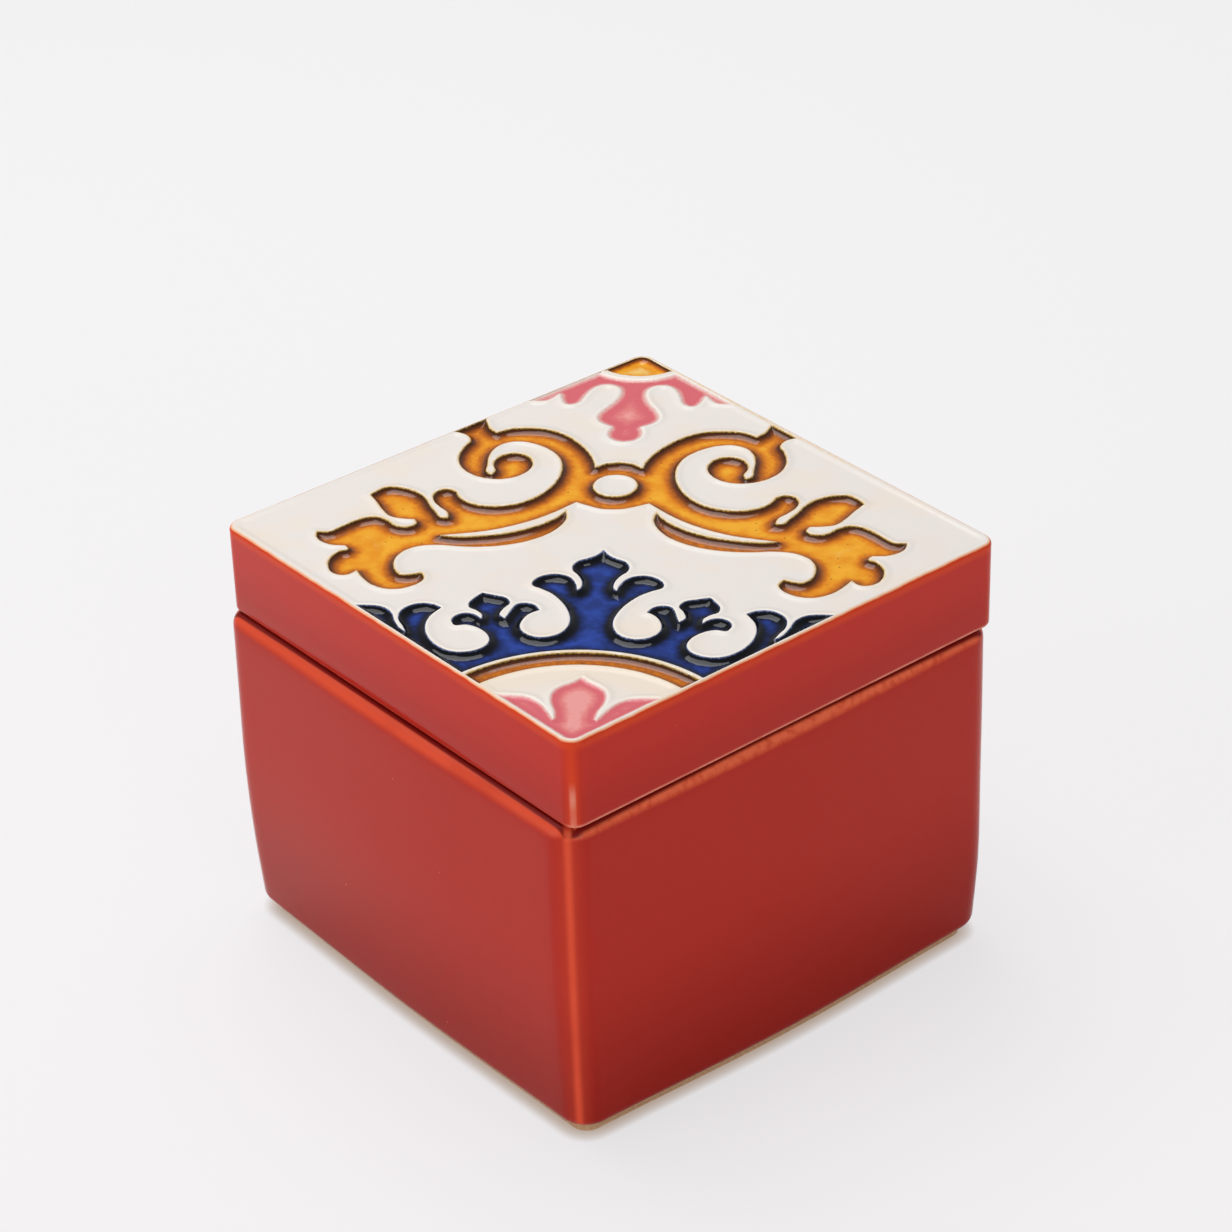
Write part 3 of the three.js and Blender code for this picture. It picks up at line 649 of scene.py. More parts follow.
# The ridges are free curves that run into sharp points, and the glaze lies against them. No cut or
# inset in edit mode follows such curves, so the tile and the pools of glaze are the pieces whose
# points and triangles are worked out in code.
class Relief:
    """The relief's triangles, with a height and a distance from the ridges for each point."""

    def __init__(self, sizes, edge_loop):
        half = LID_HALF / MM
        corner = sizes.lid_corner / MM
        rim = sizes.rim_ridge / MM
        between = (rim + sizes.lid_top_round / MM) / 2
        drawn = {
            "scrolls": mirrored_outline(SCROLLS, LEFT_SCROLL),
            "eye": round_outline(*EYE),
            "palmette": mirrored_outline(PALMETTE),
            "palmette_arc": round_outline(*PALMETTE_ARC),
            "ring_outer": round_outline(*RING_OUTER),
            "ring_inner": round_outline(*RING_INNER),
            "bud": mirrored_outline(BUD),
            "pendant": mirrored_outline(PENDANT),
            "pendant_arc": round_outline(*PENDANT_ARC),
            "back_disc": round_outline(*BACK_DISC),
        }
        outlines = {"tile": edge_loop}
        outlines["rim"] = square_outline(half - rim, corner - rim, OUTLINE_STEP)
        for name, outline in drawn.items():
            outlines[name] = into_square(on_tile(outline), half - between, corner - between)
        first_points, first_triangles, first_inside = triangulate(outlines, [])
        edges = borders(first_points, first_triangles, [cell_of(names) for names in first_inside])
        tree = ridge_tree(edges)
        loose = self.loose_points(edges, tree, half, corner, rim)
        points, triangles, inside = triangulate(outlines, loose)
        cells = np.array([cell_of(names) for names in inside])
        kept = cells != "outside"
        self.points, self.triangles, self.cells = points, triangles[kept], cells[kept]
        self.distance = from_ridge(tree, points)
        self.inset = depth_in_square(points, half, corner) - sizes.lid_top_round / MM
        first_cells = [cell_of(names).startswith("amber") for names in first_inside]
        amber = ridge_tree(borders(first_points, first_triangles, first_cells))
        self.stain = 1 - smooth(from_ridge(amber, points), 0, AMBER_STAIN)
        self.shape(sizes)

    def loose_points(self, edges, tree, half, corner, rim):
        """Rows of points beside each ridge and along the rim, and a grid where the tile is level."""
        middle = edges.mean(axis=1)
        run = edges[:, 1] - edges[:, 0]
        across = np.column_stack([run[:, 1], -run[:, 0]]) / np.linalg.norm(run, axis=1, keepdims=True)
        chosen = []
        for row in RIDGE_ROWS:
            for side in (row, -row):
                placed = middle + across * side
                chosen.append(placed[from_ridge(tree, placed) > ROW_CLEAR * row])
        for row in RIM_ROWS:
            inset = rim + row
            placed = square_outline(half - inset, max(corner - inset, 0.5), 2 * OUTLINE_STEP)
            chosen.append(placed[from_ridge(tree, placed) > OUTLINE_STEP])
        steps = np.arange(-half, half, GRID_STEP)
        placed = np.array([(x + (i % 2) * GRID_STEP / 2, y) for i, y in enumerate(steps) for x in steps])
        chosen.append(placed[from_ridge(tree, placed) > RIDGE_ROWS[-1] + GRID_STEP / 4])
        placed = np.vstack(chosen)
        placed = placed[depth_in_square(placed, half, corner) > rim + 0.1]
        _, first = np.unique(np.round(placed / LOOSE_APART), axis=0, return_index=True)
        return placed[np.sort(first)]

    def shape(self, sizes):
        """Heights of the glaze above the lid's top and its thickness over the clay, in millimetres."""
        distance = self.distance
        near = np.clip(1 - distance / CREST_WIDE, 0, 1)
        rounded = -CREST * near ** 2 * smooth(self.inset, 0, EDGE_EASE)
        dip = sizes.ground_dip / MM * smooth(np.minimum(distance, self.inset), CREST_WIDE, GROUND_WIDE)
        self.surface = rounded - dip
        self.film = np.zeros(len(distance))
        for cell in CELLS:
            here = np.unique(self.triangles[self.cells == cell])
            d = distance[here]
            if cell in ROSE_CELLS:
                fall = -(sizes.rose_depth / MM - CREST) * smooth(d, -ROSE_WIDE / 2, ROSE_WIDE)
                fall -= fall[np.argmin(d)] * (1 - smooth(d, 0, ROSE_WIDE / 2))
            elif cell == "amber_ring":
                fall = scoop(d, sizes.ring_depth / MM - CREST, *RING_WALL)
            else:
                fall = scoop(d, sizes.cell_depth / MM - CREST, *CELL_WALL)
            self.surface[here] = -CREST + fall
            self.film[here] = np.minimum(sizes.glaze_film / MM, FILM_EDGE * d)
        self.film[distance < ON_RIDGE] = 0


def mesh_piece(name, points, triangles):
    """A new object from points in millimetres about the middle of the lid's top."""
    data = bpy.data.meshes.new(name)
    places = np.asarray(points) * MM + (SEAT.x, SEAT.y, LID_TOP)
    data.from_pydata(places.tolist(), [], np.asarray(triangles).tolist())
    piece = bpy.data.objects.new(name, data)
    bpy.context.scene.collection.objects.link(piece)
    return piece


def write_attribute(piece, name, values):
    """Gives each point of a piece a value that its material reads."""
    attribute = piece.data.attributes.new(name, "FLOAT", "POINT")
    attribute.data.foreach_set("value", np.asarray(values, np.float32))


def outer_loop(piece, z):
    """The points of a piece's edge at a height, in order round the lid's middle, in millimetres."""
    places = [v.co - SEAT for v in piece.data.vertices if abs(v.co.z - z) < 0.001 * MM]
    places.sort(key=lambda place: math.atan2(place.y, place.x))
    return np.array([tuple(place.xy / MM) for place in places])


RELIEF = {}                                 # the tile's relief, which the glazes are poured into


class BOX_OT_make_lid(bpy.types.Operator):
    """Make the lid, a square casting with a flange below and the relief tile on top"""

    bl_idname = "ceramic_box.make_lid"
    bl_label = "Make lid"

    def execute(self, context):
        sizes = context.scene.box_sizes
        half = LID_HALF
        flange = sizes.flange_half
        inner = flange - sizes.flange_wall
        skirt = half - sizes.lid_wall
        lid = add_block("lid_casting", Vector((-half, -half, JOINT)), Vector((half, half, LID_TOP)))
        sink_face(lid, level_face(JOINT), half - flange, LID_LOW.z - JOINT)
        sink_face(lid, level_face(LID_LOW.z), sizes.flange_wall, JOINT - LID_LOW.z)
        shoulder = JOINT + sizes.flange_shoulder
        bpy.ops.mesh.extrude_region_move(TRANSFORM_OT_translate={"value": (0, 0, sizes.flange_shoulder)})
        widen = skirt / inner
        bpy.ops.transform.resize(value=(widen, widen, 1), center_override=(0, 0, shoulder))
        underside = LID_TOP - sizes.lid_plate
        bpy.ops.mesh.extrude_region_move(TRANSFORM_OT_translate={"value": (0, 0, underside - shoulder)})
        apart = 1 * MM
        round_edges(lid, upright_edge(half - apart, half + apart), sizes.lid_corner, 8)
        round_edges(lid, upright_edge(flange - apart, flange + apart), sizes.flange_corner, 6)
        round_edges(lid, inside_corner(inner, skirt), sizes.lid_inner_corner, 6)
        round_edges(lid, level_edge(LID_TOP, 0, half), sizes.lid_top_round, 6)
        round_edges(lid, level_edge(JOINT, half - apart, half), sizes.lid_lip_round, 6)
        round_edges(lid, level_edge(underside, 0, skirt), sizes.lid_plate_round, 5)
        round_edges(lid, level_edge(LID_LOW.z, 0, flange), sizes.flange_round, 3)
        select_parts(lid, "FACE", level_face(LID_TOP))
        bpy.ops.mesh.delete(type="FACE")
        slice_across(lid, 2, (JOINT + 5 * MM, JOINT + 10 * MM, LID_TOP - 2 * MM))
        bpy.ops.mesh.select_all(action="SELECT")
        bpy.ops.transform.translate(value=SEAT)
        bpy.ops.object.mode_set(mode="OBJECT")

        relief = RELIEF["tile"] = Relief(sizes, outer_loop(lid, LID_TOP))
        bed = np.column_stack([relief.points, relief.surface - relief.film])
        tile = mesh_piece("tile", bed, relief.triangles)
        write_attribute(tile, "from_ridge", relief.distance)
        write_attribute(tile, "stain", relief.stain)
        write_attribute(lid, "from_ridge", np.full(len(lid.data.vertices), FAR_OFF))
        write_attribute(lid, "stain", np.zeros(len(lid.data.vertices)))
        round_length = sizes.lid_top_round / MM * math.pi / 2
        write_attribute(tile, "from_side", relief.inset + round_length)
        heights = np.array([v.co.z for v in lid.data.vertices])
        up_round = np.clip((heights - LID_TOP) / sizes.lid_top_round + 1, 0, 1)
        write_attribute(lid, "from_side", np.arcsin(up_round) * sizes.lid_top_round / MM)
        use(lid)
        tile.select_set(True)
        bpy.ops.object.join()
        bpy.ops.object.mode_set(mode="EDIT")
        bpy.ops.mesh.select_all(action="SELECT")
        bpy.ops.mesh.remove_doubles(threshold=0.0005 * MM)
        bpy.ops.object.mode_set(mode="OBJECT")
        lid.data.materials.append(lid_glaze(context))
        lid.data.materials.append(bare_clay(context))
        bare_below(lid, LID_LOW.z + 0.4 * MM)
        pull_back_corner(lid)
        bpy.ops.object.shade_smooth_by_angle(angle=CREASE)
        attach(lid, "lid")
        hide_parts("lid")
        return {"FINISHED"}


class BOX_OT_pour_glazes(bpy.types.Operator):
    """Pour the coloured glazes into the cells of the lid's relief"""

    bl_idname = "ceramic_box.pour_glazes"
    bl_label = "Pour coloured glazes"

    def execute(self, context):
        if "tile" not in RELIEF:
            raise RuntimeError("make the lid first: the glazes lie in its relief")
        relief = RELIEF["tile"]
        finishes = {
            "amber": amber_glaze(context), "cobalt": cobalt_glaze(context), "rose": rose_glaze(context)}
        for cell in CELLS:
            family = cell.split("_")[0]
            piece = self.pour(relief, cell)
            piece.data.materials.append(finishes[family])
            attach(piece, "lid")
            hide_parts(f"{cell}_glaze")
        return {"FINISHED"}

    def pour(self, relief, cell):
        """A closed lens of glaze, which thins to nearly nothing along the cell's ridge."""
        triangles = relief.triangles[relief.cells == cell]
        used = np.unique(triangles)
        number = np.full(len(relief.points), -1)
        number[used] = np.arange(len(used))
        upper = number[triangles]
        count = len(used)
        surface = relief.surface[used]
        film = np.maximum(relief.film[used] - FILM_GAP, FILM_LEAST)
        top = np.column_stack([relief.points[used], surface])
        bottom = np.column_stack([relief.points[used], surface - film])
        sides = {tuple(edge) for triangle in upper.tolist() for edge in zip(triangle, np.roll(triangle, -1))}
        walls = []
        for a, b in sorted(sides):
            if (b, a) not in sides:
                walls.extend([(b, a, a + count), (b, a + count, b + count)])
        faces = np.vstack([upper, upper[:, ::-1] + count, walls])
        piece = mesh_piece(f"{cell}_pool", np.vstack([top, bottom]), faces)
        paling = relief.distance[used] * PALES.get(cell, 1)
        write_attribute(piece, "from_ridge", np.tile(paling, 2))
        pull_back_corner(piece)
        use(piece)
        bpy.ops.object.shade_smooth_by_angle(angle=CREASE)
        return piece


# Settings of nodes
SMOOTH_STEP = {"interpolation_type": "SMOOTHSTEP"}
OF_COLOURS = {"data_type": "RGBA"}
ADD = {"operation": "ADD"}
SUBTRACT = {"operation": "SUBTRACT"}
MULTIPLY = {"operation": "MULTIPLY"}
ABSOLUTE = {"operation": "ABSOLUTE"}
LESSER = {"operation": "MINIMUM"}
GREATER = {"operation": "MAXIMUM"}

HAND_DIPPED = (14 * MM, 0.7)                # size and least share of the drift in a hand-dipped glaze


def add_node(tree, kind, settings=None, inputs=None, stops=()):
    """Adds a node, sets its properties and the stops of its ramp, and sets or links its inputs."""
    node = tree.nodes.new(kind)
    for name, value in (settings or {}).items():
        setattr(node, name, value)
    for number, (position, shade) in enumerate(stops):
        elements = node.color_ramp.elements
        element = elements[number] if number < len(elements) else elements.new(1.0)
        element.position = position
        element.color = shade
    for name, value in (inputs or {}).items():
        if isinstance(value, bpy.types.Node):
            value = next(socket for socket in value.outputs if socket.enabled)
        if isinstance(value, bpy.types.NodeSocket):
            tree.links.new(value, node.inputs[name])
        else:
            node.inputs[name].default_value = value
    return node


def start_material(name):
    """A new material with an empty tree, and the place on the piece that its patterns follow."""
    material = bpy.data.materials.new(name)
    material.use_nodes = True
    tree = material.node_tree
    tree.nodes.clear()
    return material, tree, add_node(tree, "ShaderNodeTexCoord").outputs["Object"]


def finish_glaze(tree, place, base, roughness, ripple, spacing, ior=1.5, specular=0.5):
    """A gloss glaze: glass over colour, whose surface froze with ripples of a height and a spacing."""
    wave = add_node(tree, "ShaderNodeTexNoise", None, {
        "Vector": place, "Scale": 1 / spacing, "Detail": 2.0, "Roughness": 0.4})
    bump = add_node(tree, "ShaderNodeBump", None, {"Height": wave, "Distance": ripple})
    shader = add_node(tree, "ShaderNodeBsdfPrincipled", None, {
        "Base Color": base, "Roughness": roughness, "IOR": ior, "Specular IOR Level": specular,
        "Normal": bump})
    add_node(tree, "ShaderNodeOutputMaterial", None, {"Surface": shader})


def folded_place(tree, place, middle):
    """How far a point is from a casting's upright axis, to the side and to the back, and its height."""
    offset = add_node(tree, "ShaderNodeVectorMath", SUBTRACT, {0: place, 1: middle})
    folded = add_node(tree, "ShaderNodeVectorMath", ABSOLUTE, {0: offset})
    parts = add_node(tree, "ShaderNodeSeparateXYZ", None, {"Vector": folded})
    return parts.outputs["X"], parts.outputs["Y"], parts.outputs["Z"]


def thin_corner(tree, x, y, half, core_width):
    """How thin the glaze runs along a casting's upright corners: most along the middle of each, less
    beside it, and none away from the corners."""
    apart = add_node(tree, "ShaderNodeMath", SUBTRACT, {0: x, 1: y})
    aside = add_node(tree, "ShaderNodeMath", ABSOLUTE, {0: apart})
    core = add_node(tree, "ShaderNodeMapRange", SMOOTH_STEP, {
        "Value": aside, "From Max": core_width, "To Min": 0.65, "To Max": 0.0})
    halo = add_node(tree, "ShaderNodeMapRange", SMOOTH_STEP, {
        "Value": aside, "From Max": 4.8 * MM, "To Min": 0.25, "To Max": 0.0})
    both = add_node(tree, "ShaderNodeMath", ADD, {0: core, 1: halo})
    out = add_node(tree, "ShaderNodeMath", ADD, {0: x, 1: y})
    outside = add_node(tree, "ShaderNodeMapRange", SMOOTH_STEP, {
        "Value": out, "From Min": 2 * half - 9 * MM, "From Max": 2 * half - 6 * MM})
    return add_node(tree, "ShaderNodeMath", MULTIPLY, {0: both, 1: outside})


def dots(tree, place, spacing, radius, share):
    """Small round dots, one in some of the cells of a random pattern."""
    cells = add_node(tree, "ShaderNodeTexVoronoi", None, {"Vector": place, "Scale": 1 / spacing})
    dot = add_node(tree, "ShaderNodeMapRange", SMOOTH_STEP, {
        "Value": cells.outputs["Distance"], "From Min": 0.4 * radius / spacing,
        "From Max": radius / spacing, "To Min": 1.0, "To Max": 0.0})
    chosen = add_node(tree, "ShaderNodeMath", {"operation": "LESS_THAN"}, {
        0: cells.outputs["Color"], 1: share})
    return add_node(tree, "ShaderNodeMath", MULTIPLY, {0: dot, 1: chosen})


def pinholes(tree, place):
    """Pinholes that gas left in the red glaze, one or two in a square centimetre."""
    return dots(tree, place, 9 * MM, 0.28 * MM, 0.45)


def uneven(tree, place, share, size, least):
    """A share that drops here and there, to the least part of it, over patches of a size."""
    drift = add_node(tree, "ShaderNodeTexNoise", None, {"Vector": place, "Scale": 1 / size, "Detail": 3.0})
    keep = add_node(tree, "ShaderNodeMapRange", SMOOTH_STEP, {
        "Value": drift, "From Min": 0.25, "From Max": 0.6, "To Min": least, "To Max": 1.0})
    return add_node(tree, "ShaderNodeMath", MULTIPLY, {0: share, 1: keep})


def painted_shade_in_seam(tree, side, back, below, corner):
    """Painted shade on the rim under the lid's edge, where the seam lies in shadow; less at the upright
    corners.
    """
    out = add_node(tree, "ShaderNodeMath", GREATER, {0: side, 1: back})
    from_inside = add_node(tree, "ShaderNodeMapRange", SMOOTH_STEP, {
        "Value": out, "From Min": LID_HALF - 1.7 * MM, "From Max": LID_HALF - 1.2 * MM})
    to_side = add_node(tree, "ShaderNodeMapRange", SMOOTH_STEP, {
        "Value": side, "From Min": LID_HALF - 0.7 * MM, "From Max": LID_HALF, "To Min": 1.0, "To Max": 0.0})
    to_back = add_node(tree, "ShaderNodeMapRange", SMOOTH_STEP, {
        "Value": back, "From Min": LID_HALF + 0.3 * MM, "From Max": LID_HALF + 0.75 * MM,
        "To Min": 1.0, "To Max": 0.0})
    to_outside = add_node(tree, "ShaderNodeMath", LESSER, {0: to_side, 1: to_back})
    near_rim = add_node(tree, "ShaderNodeMapRange", SMOOTH_STEP, {
        "Value": below, "From Min": 1.3 * MM, "From Max": 1.9 * MM, "To Min": 1.0, "To Max": 0.0})
    off_corner = add_node(tree, "ShaderNodeMapRange", SMOOTH_STEP, {
        "Value": corner, "From Min": 0.2, "From Max": 0.8, "To Min": 1.0, "To Max": 0.35})
    seam_shade = from_inside
    for limit in (to_outside, near_rim, off_corner):
        seam_shade = add_node(tree, "ShaderNodeMath", MULTIPLY, {0: seam_shade, 1: limit})
    return seam_shade


def red_glaze(context):
    """Red lead glaze, dipped: glassy, lighter where it ran thin over the rim and the upright corners,
    and darker towards the bottom of the walls, with painted shade in the seam under the lid and a
    painted highlight on the rim of the two X sides."""
    colours = context.scene.box_colours
    material, tree, place = start_material("red_lead_glaze")
    x, y, z = folded_place(tree, place, (0, 0, 0))
    side, back, _ = folded_place(tree, place, (SEAT.x, SEAT.y, 0))
    below = add_node(tree, "ShaderNodeMath", SUBTRACT, {0: JOINT, 1: z})
    # darker towards the bottom of the walls
    deep = add_node(tree, "ShaderNodeMapRange", SMOOTH_STEP, {
        "Value": z, "From Min": 3 * MM, "From Max": 40 * MM, "To Min": 0.8, "To Max": 0.0})
    corner = thin_corner(tree, x, y, context.scene.box_sizes.pot_half, 1.7 * MM)
    rim = add_node(tree, "ShaderNodeMapRange", SMOOTH_STEP, {
        "Value": below, "From Min": 0.7 * MM, "From Max": 2.5 * MM, "To Min": 1.0, "To Max": 0.0})
    thin = add_node(tree, "ShaderNodeMath", GREATER, {0: rim, 1: corner})
    thin = uneven(tree, place, thin, *HAND_DIPPED)

    # painted highlight: a mottled brighter band on the rim of the two X sides
    x_sides = add_node(tree, "ShaderNodeMapRange", SMOOTH_STEP, {
        "Value": side, "From Min": LID_HALF - 2.5 * MM, "From Max": LID_HALF - 1 * MM})
    painted_sheen = add_node(tree, "ShaderNodeMath", MULTIPLY, {0: rim, 1: x_sides})
    painted_sheen = uneven(tree, place, painted_sheen, 1.5 * MM, 0.3)
    # painted shade in the seam under the lid
    seam_shade = painted_shade_in_seam(tree, side, back, below, corner)

    base = colours.red
    for share, shade in ((deep, colours.red_low_down), (thin, colours.red_thin), (painted_sheen, colours.red_rim_highlight),
                         (seam_shade, colours.red_seam_painted_shade), (pinholes(tree, place), colours.red_pit)):
        base = add_node(tree, "ShaderNodeMix", OF_COLOURS, {"Factor": share, "A": base, "B": shade})
    roughness = add_node(tree, "ShaderNodeMapRange", None, {"Value": rim, "To Min": 0.12, "To Max": 0.4})
    finish_glaze(tree, place, base, roughness, 0.02 * MM, 9 * MM, specular=0.15)
    return material


def red_on_sides(tree, place, colours):
    """The red on the lid's sides: darker low down, thin at the corners and beside the tile, with a
    painted highlight on the lower edge of the two X sides and low on the upright corners.
    """
    x, y, z = folded_place(tree, place, (SEAT.x, SEAT.y, 0))
    # darker towards the bottom of the lid's sides
    deep = add_node(tree, "ShaderNodeMapRange", SMOOTH_STEP, {
        "Value": z, "From Min": JOINT + 1 * MM, "From Max": LID_TOP - 4 * MM, "To Min": 0.4, "To Max": 0.0})
    corner = thin_corner(tree, x, y, LID_HALF, 2.4 * MM)
    thin = uneven(tree, place, corner, *HAND_DIPPED)
    below = add_node(tree, "ShaderNodeMath", SUBTRACT, {0: LID_TOP, 1: z})
    edge = add_node(tree, "ShaderNodeMapRange", SMOOTH_STEP, {
        "Value": below, "From Min": 1.0 * MM, "From Max": 2.4 * MM, "To Min": 0.9, "To Max": 0.0})
    edge = uneven(tree, place, edge, *HAND_DIPPED)

    # painted highlight: a pale line on the lower edge of the two X sides and a streak low on the corners
    lip_low = add_node(tree, "ShaderNodeMapRange", SMOOTH_STEP, {
        "Value": z, "From Min": JOINT, "From Max": JOINT + 0.2 * MM})
    lip_high = add_node(tree, "ShaderNodeMapRange", SMOOTH_STEP, {
        "Value": z, "From Min": JOINT + 0.55 * MM, "From Max": JOINT + 1.2 * MM,
        "To Min": 0.9, "To Max": 0.0})
    x_sides = add_node(tree, "ShaderNodeMapRange", SMOOTH_STEP, {
        "Value": x, "From Min": LID_HALF - 2.5 * MM, "From Max": LID_HALF - 1 * MM, "To Min": 0.15})
    lip = add_node(tree, "ShaderNodeMath", MULTIPLY, {0: lip_low, 1: lip_high})
    lip = add_node(tree, "ShaderNodeMath", MULTIPLY, {0: lip, 1: x_sides})
    streak_end = add_node(tree, "ShaderNodeMapRange", SMOOTH_STEP, {
        "Value": z, "From Min": JOINT + 6 * MM, "From Max": JOINT + 10 * MM, "To Min": 1.0, "To Max": 0.0})
    streak_side = add_node(tree, "ShaderNodeMapRange", SMOOTH_STEP, {
        "Value": corner, "From Min": 0.6, "From Max": 0.88, "To Max": 0.75})
    streak = add_node(tree, "ShaderNodeMath", MULTIPLY, {0: streak_end, 1: streak_side})
    painted_sheen = add_node(tree, "ShaderNodeMath", GREATER, {0: lip, 1: streak})
    painted_sheen = uneven(tree, place, painted_sheen, 5 * MM, 0.4)

    red = colours.red_lid
    for share, shade in ((deep, colours.red_low_down), (thin, colours.red_edge), (edge, colours.red_edge),
                         (painted_sheen, colours.red_lid_highlight), (pinholes(tree, place), colours.red_pit)):
        red = add_node(tree, "ShaderNodeMix", OF_COLOURS, {"Factor": share, "A": red, "B": shade})
    return red


def cream_on_tile(tree, place, colours):
    """The cream on the tile: whiter over the ridges as a painted highlight, warm where it lies thick, in
    clouds and inside the front ring, and stained beside the amber cells."""
    away = add_node(tree, "ShaderNodeAttribute", {"attribute_name": "from_ridge"}).outputs["Fac"]
    # painted highlight, fading to the plain cream away from a ridge
    level = add_node(tree, "ShaderNodeMapRange", SMOOTH_STEP, {
        "Value": away, "From Min": 0.1, "From Max": 0.8})
    cloud = add_node(tree, "ShaderNodeTexNoise", None, {
        "Vector": place, "Scale": 1 / (11 * MM), "Detail": 2.0})
    clouded = add_node(tree, "ShaderNodeMapRange", SMOOTH_STEP, {
        "Value": cloud, "From Min": 0.45, "From Max": 0.75, "To Max": 0.45})
    front_corner = SEAT + Vector((LID_HALF, -LID_HALF, LID_TOP))
    from_corner = add_node(tree, "ShaderNodeVectorMath", {"operation": "DISTANCE"}, {
        0: place, 1: front_corner})
    to_ring = add_node(tree, "ShaderNodeMapRange", SMOOTH_STEP, {
        "Value": from_corner, "From Min": 12 * MM, "From Max": 25 * MM, "To Max": 0.65})
    in_ring = add_node(tree, "ShaderNodeMapRange", SMOOTH_STEP, {
        "Value": from_corner, "From Min": 25.6 * MM, "From Max": 26.6 * MM, "To Min": 1.0, "To Max": 0.0})
    poured = add_node(tree, "ShaderNodeMath", MULTIPLY, {0: to_ring, 1: in_ring})
    warm = add_node(tree, "ShaderNodeMath", GREATER, {0: clouded, 1: poured})
    stain = add_node(tree, "ShaderNodeAttribute", {"attribute_name": "stain"}).outputs["Fac"]
    stain = uneven(tree, place, stain, 1.2 * MM, 0.1)

    cream = colours.cream_ridge_highlight
    for share, shade in ((level, colours.cream), (warm, colours.cream_warm), (stain, colours.cream_stain)):
        cream = add_node(tree, "ShaderNodeMix", OF_COLOURS, {"Factor": share, "A": cream, "B": shade})
    return cream


def lid_glaze(context):
    """Red lead glaze on the lid's sides and opaque tin-white glaze on the tile, with a pale line where
    they thin over the clay on the tile's edge and the red stains the cream."""
    colours = context.scene.box_colours
    material, tree, place = start_material("red_and_cream_glaze")
    base = red_on_sides(tree, place, colours)
    cream = cream_on_tile(tree, place, colours)

    # across the tile's edge, in millimetres along the surface from the lid's side
    along = add_node(tree, "ShaderNodeAttribute", {"attribute_name": "from_side"}).outputs["Fac"]
    creep = add_node(tree, "ShaderNodeTexNoise", None, {
        "Vector": place, "Scale": 1 / (4 * MM), "Detail": 2.0})
    shift = add_node(tree, "ShaderNodeMapRange", None, {"Value": creep, "To Min": -0.2, "To Max": 0.2})
    crept = add_node(tree, "ShaderNodeMath", ADD, {0: along, 1: shift})
    for shade, start, end in ((colours.cream_bleed, 0.45, 0.8), (cream, 0.75, 1.25)):
        share = add_node(tree, "ShaderNodeMapRange", SMOOTH_STEP, {
            "Value": crept, "From Min": start, "From Max": end})
        base = add_node(tree, "ShaderNodeMix", OF_COLOURS, {"Factor": share, "A": base, "B": shade})
    finish_glaze(tree, place, base, 0.12, 0.015 * MM, 9 * MM, specular=0.16)
    return material


def from_ridge_share(tree, place):
    """Distance from the ridges as a share of RIDGE_REACH, ragged because a glaze runs unevenly."""
    share = add_node(tree, "ShaderNodeAttribute", {"attribute_name": "from_ridge"}).outputs["Fac"]
    for size, detail, operation, low, high in (
            (1.1 * MM, 3.0, MULTIPLY, 0.7, 1.3), (0.45 * MM, 1.0, ADD, -0.15, 0.15)):
        ragged = add_node(tree, "ShaderNodeTexNoise", None, {
            "Vector": place, "Scale": 1 / size, "Detail": detail})
        shift = add_node(tree, "ShaderNodeMapRange", None, {
            "Value": ragged, "To Min": low / RIDGE_REACH, "To Max": high / RIDGE_REACH})
        share = add_node(tree, "ShaderNodeMath", operation, {0: share, 1: shift})
    return share


def amber_glaze(context):
    """Transparent iron glaze, poured: pale on a ridge, dark where it is thick below it, amber on the
    floor, with specks of undissolved iron."""
    colours = context.scene.box_colours
    material, tree, place = start_material("amber_iron_glaze")
    share = from_ridge_share(tree, place)
    base = add_node(tree, "ShaderNodeValToRGB", None, {"Fac": share}, [
        (0.0, linear("#DAB878")), (0.035, linear("#94721C")), (0.065, linear("#402204")),
        (0.13, colours.amber_pool), (0.27, linear("#743A12")), (0.42, linear("#A85810")),
        (0.58, linear("#C86E0C")), (0.78, colours.amber), (1.0, linear("#EA920E"))])
    drift = add_node(tree, "ShaderNodeTexNoise", None, {
        "Vector": place, "Scale": 1 / (5 * MM), "Detail": 3.0})
    thin = add_node(tree, "ShaderNodeMapRange", SMOOTH_STEP, {
        "Value": drift, "From Min": 0.32, "From Max": 0.62, "To Min": 0.1, "To Max": 0.85})
    wide = add_node(tree, "ShaderNodeMapRange", SMOOTH_STEP, {
        "Value": share, "From Min": 0.6, "From Max": 1.2})
    thin = add_node(tree, "ShaderNodeMath", MULTIPLY, {0: thin, 1: wide})
    thinnest = add_node(tree, "ShaderNodeMapRange", SMOOTH_STEP, {
        "Value": share, "From Min": 1.55, "From Max": 2.9})
    iron = dots(tree, place, 1.7 * MM, 0.2 * MM, 0.55)
    for part, shade in ((thin, colours.amber_pale), (thinnest, colours.amber_thin),
                        (iron, colours.amber_pool)):
        base = add_node(tree, "ShaderNodeMix", OF_COLOURS, {"Factor": part, "A": base, "B": shade})
    finish_glaze(tree, place, base, 0.12, 0.03 * MM, 1.8 * MM, ior=1.65, specular=0.26)
    return material


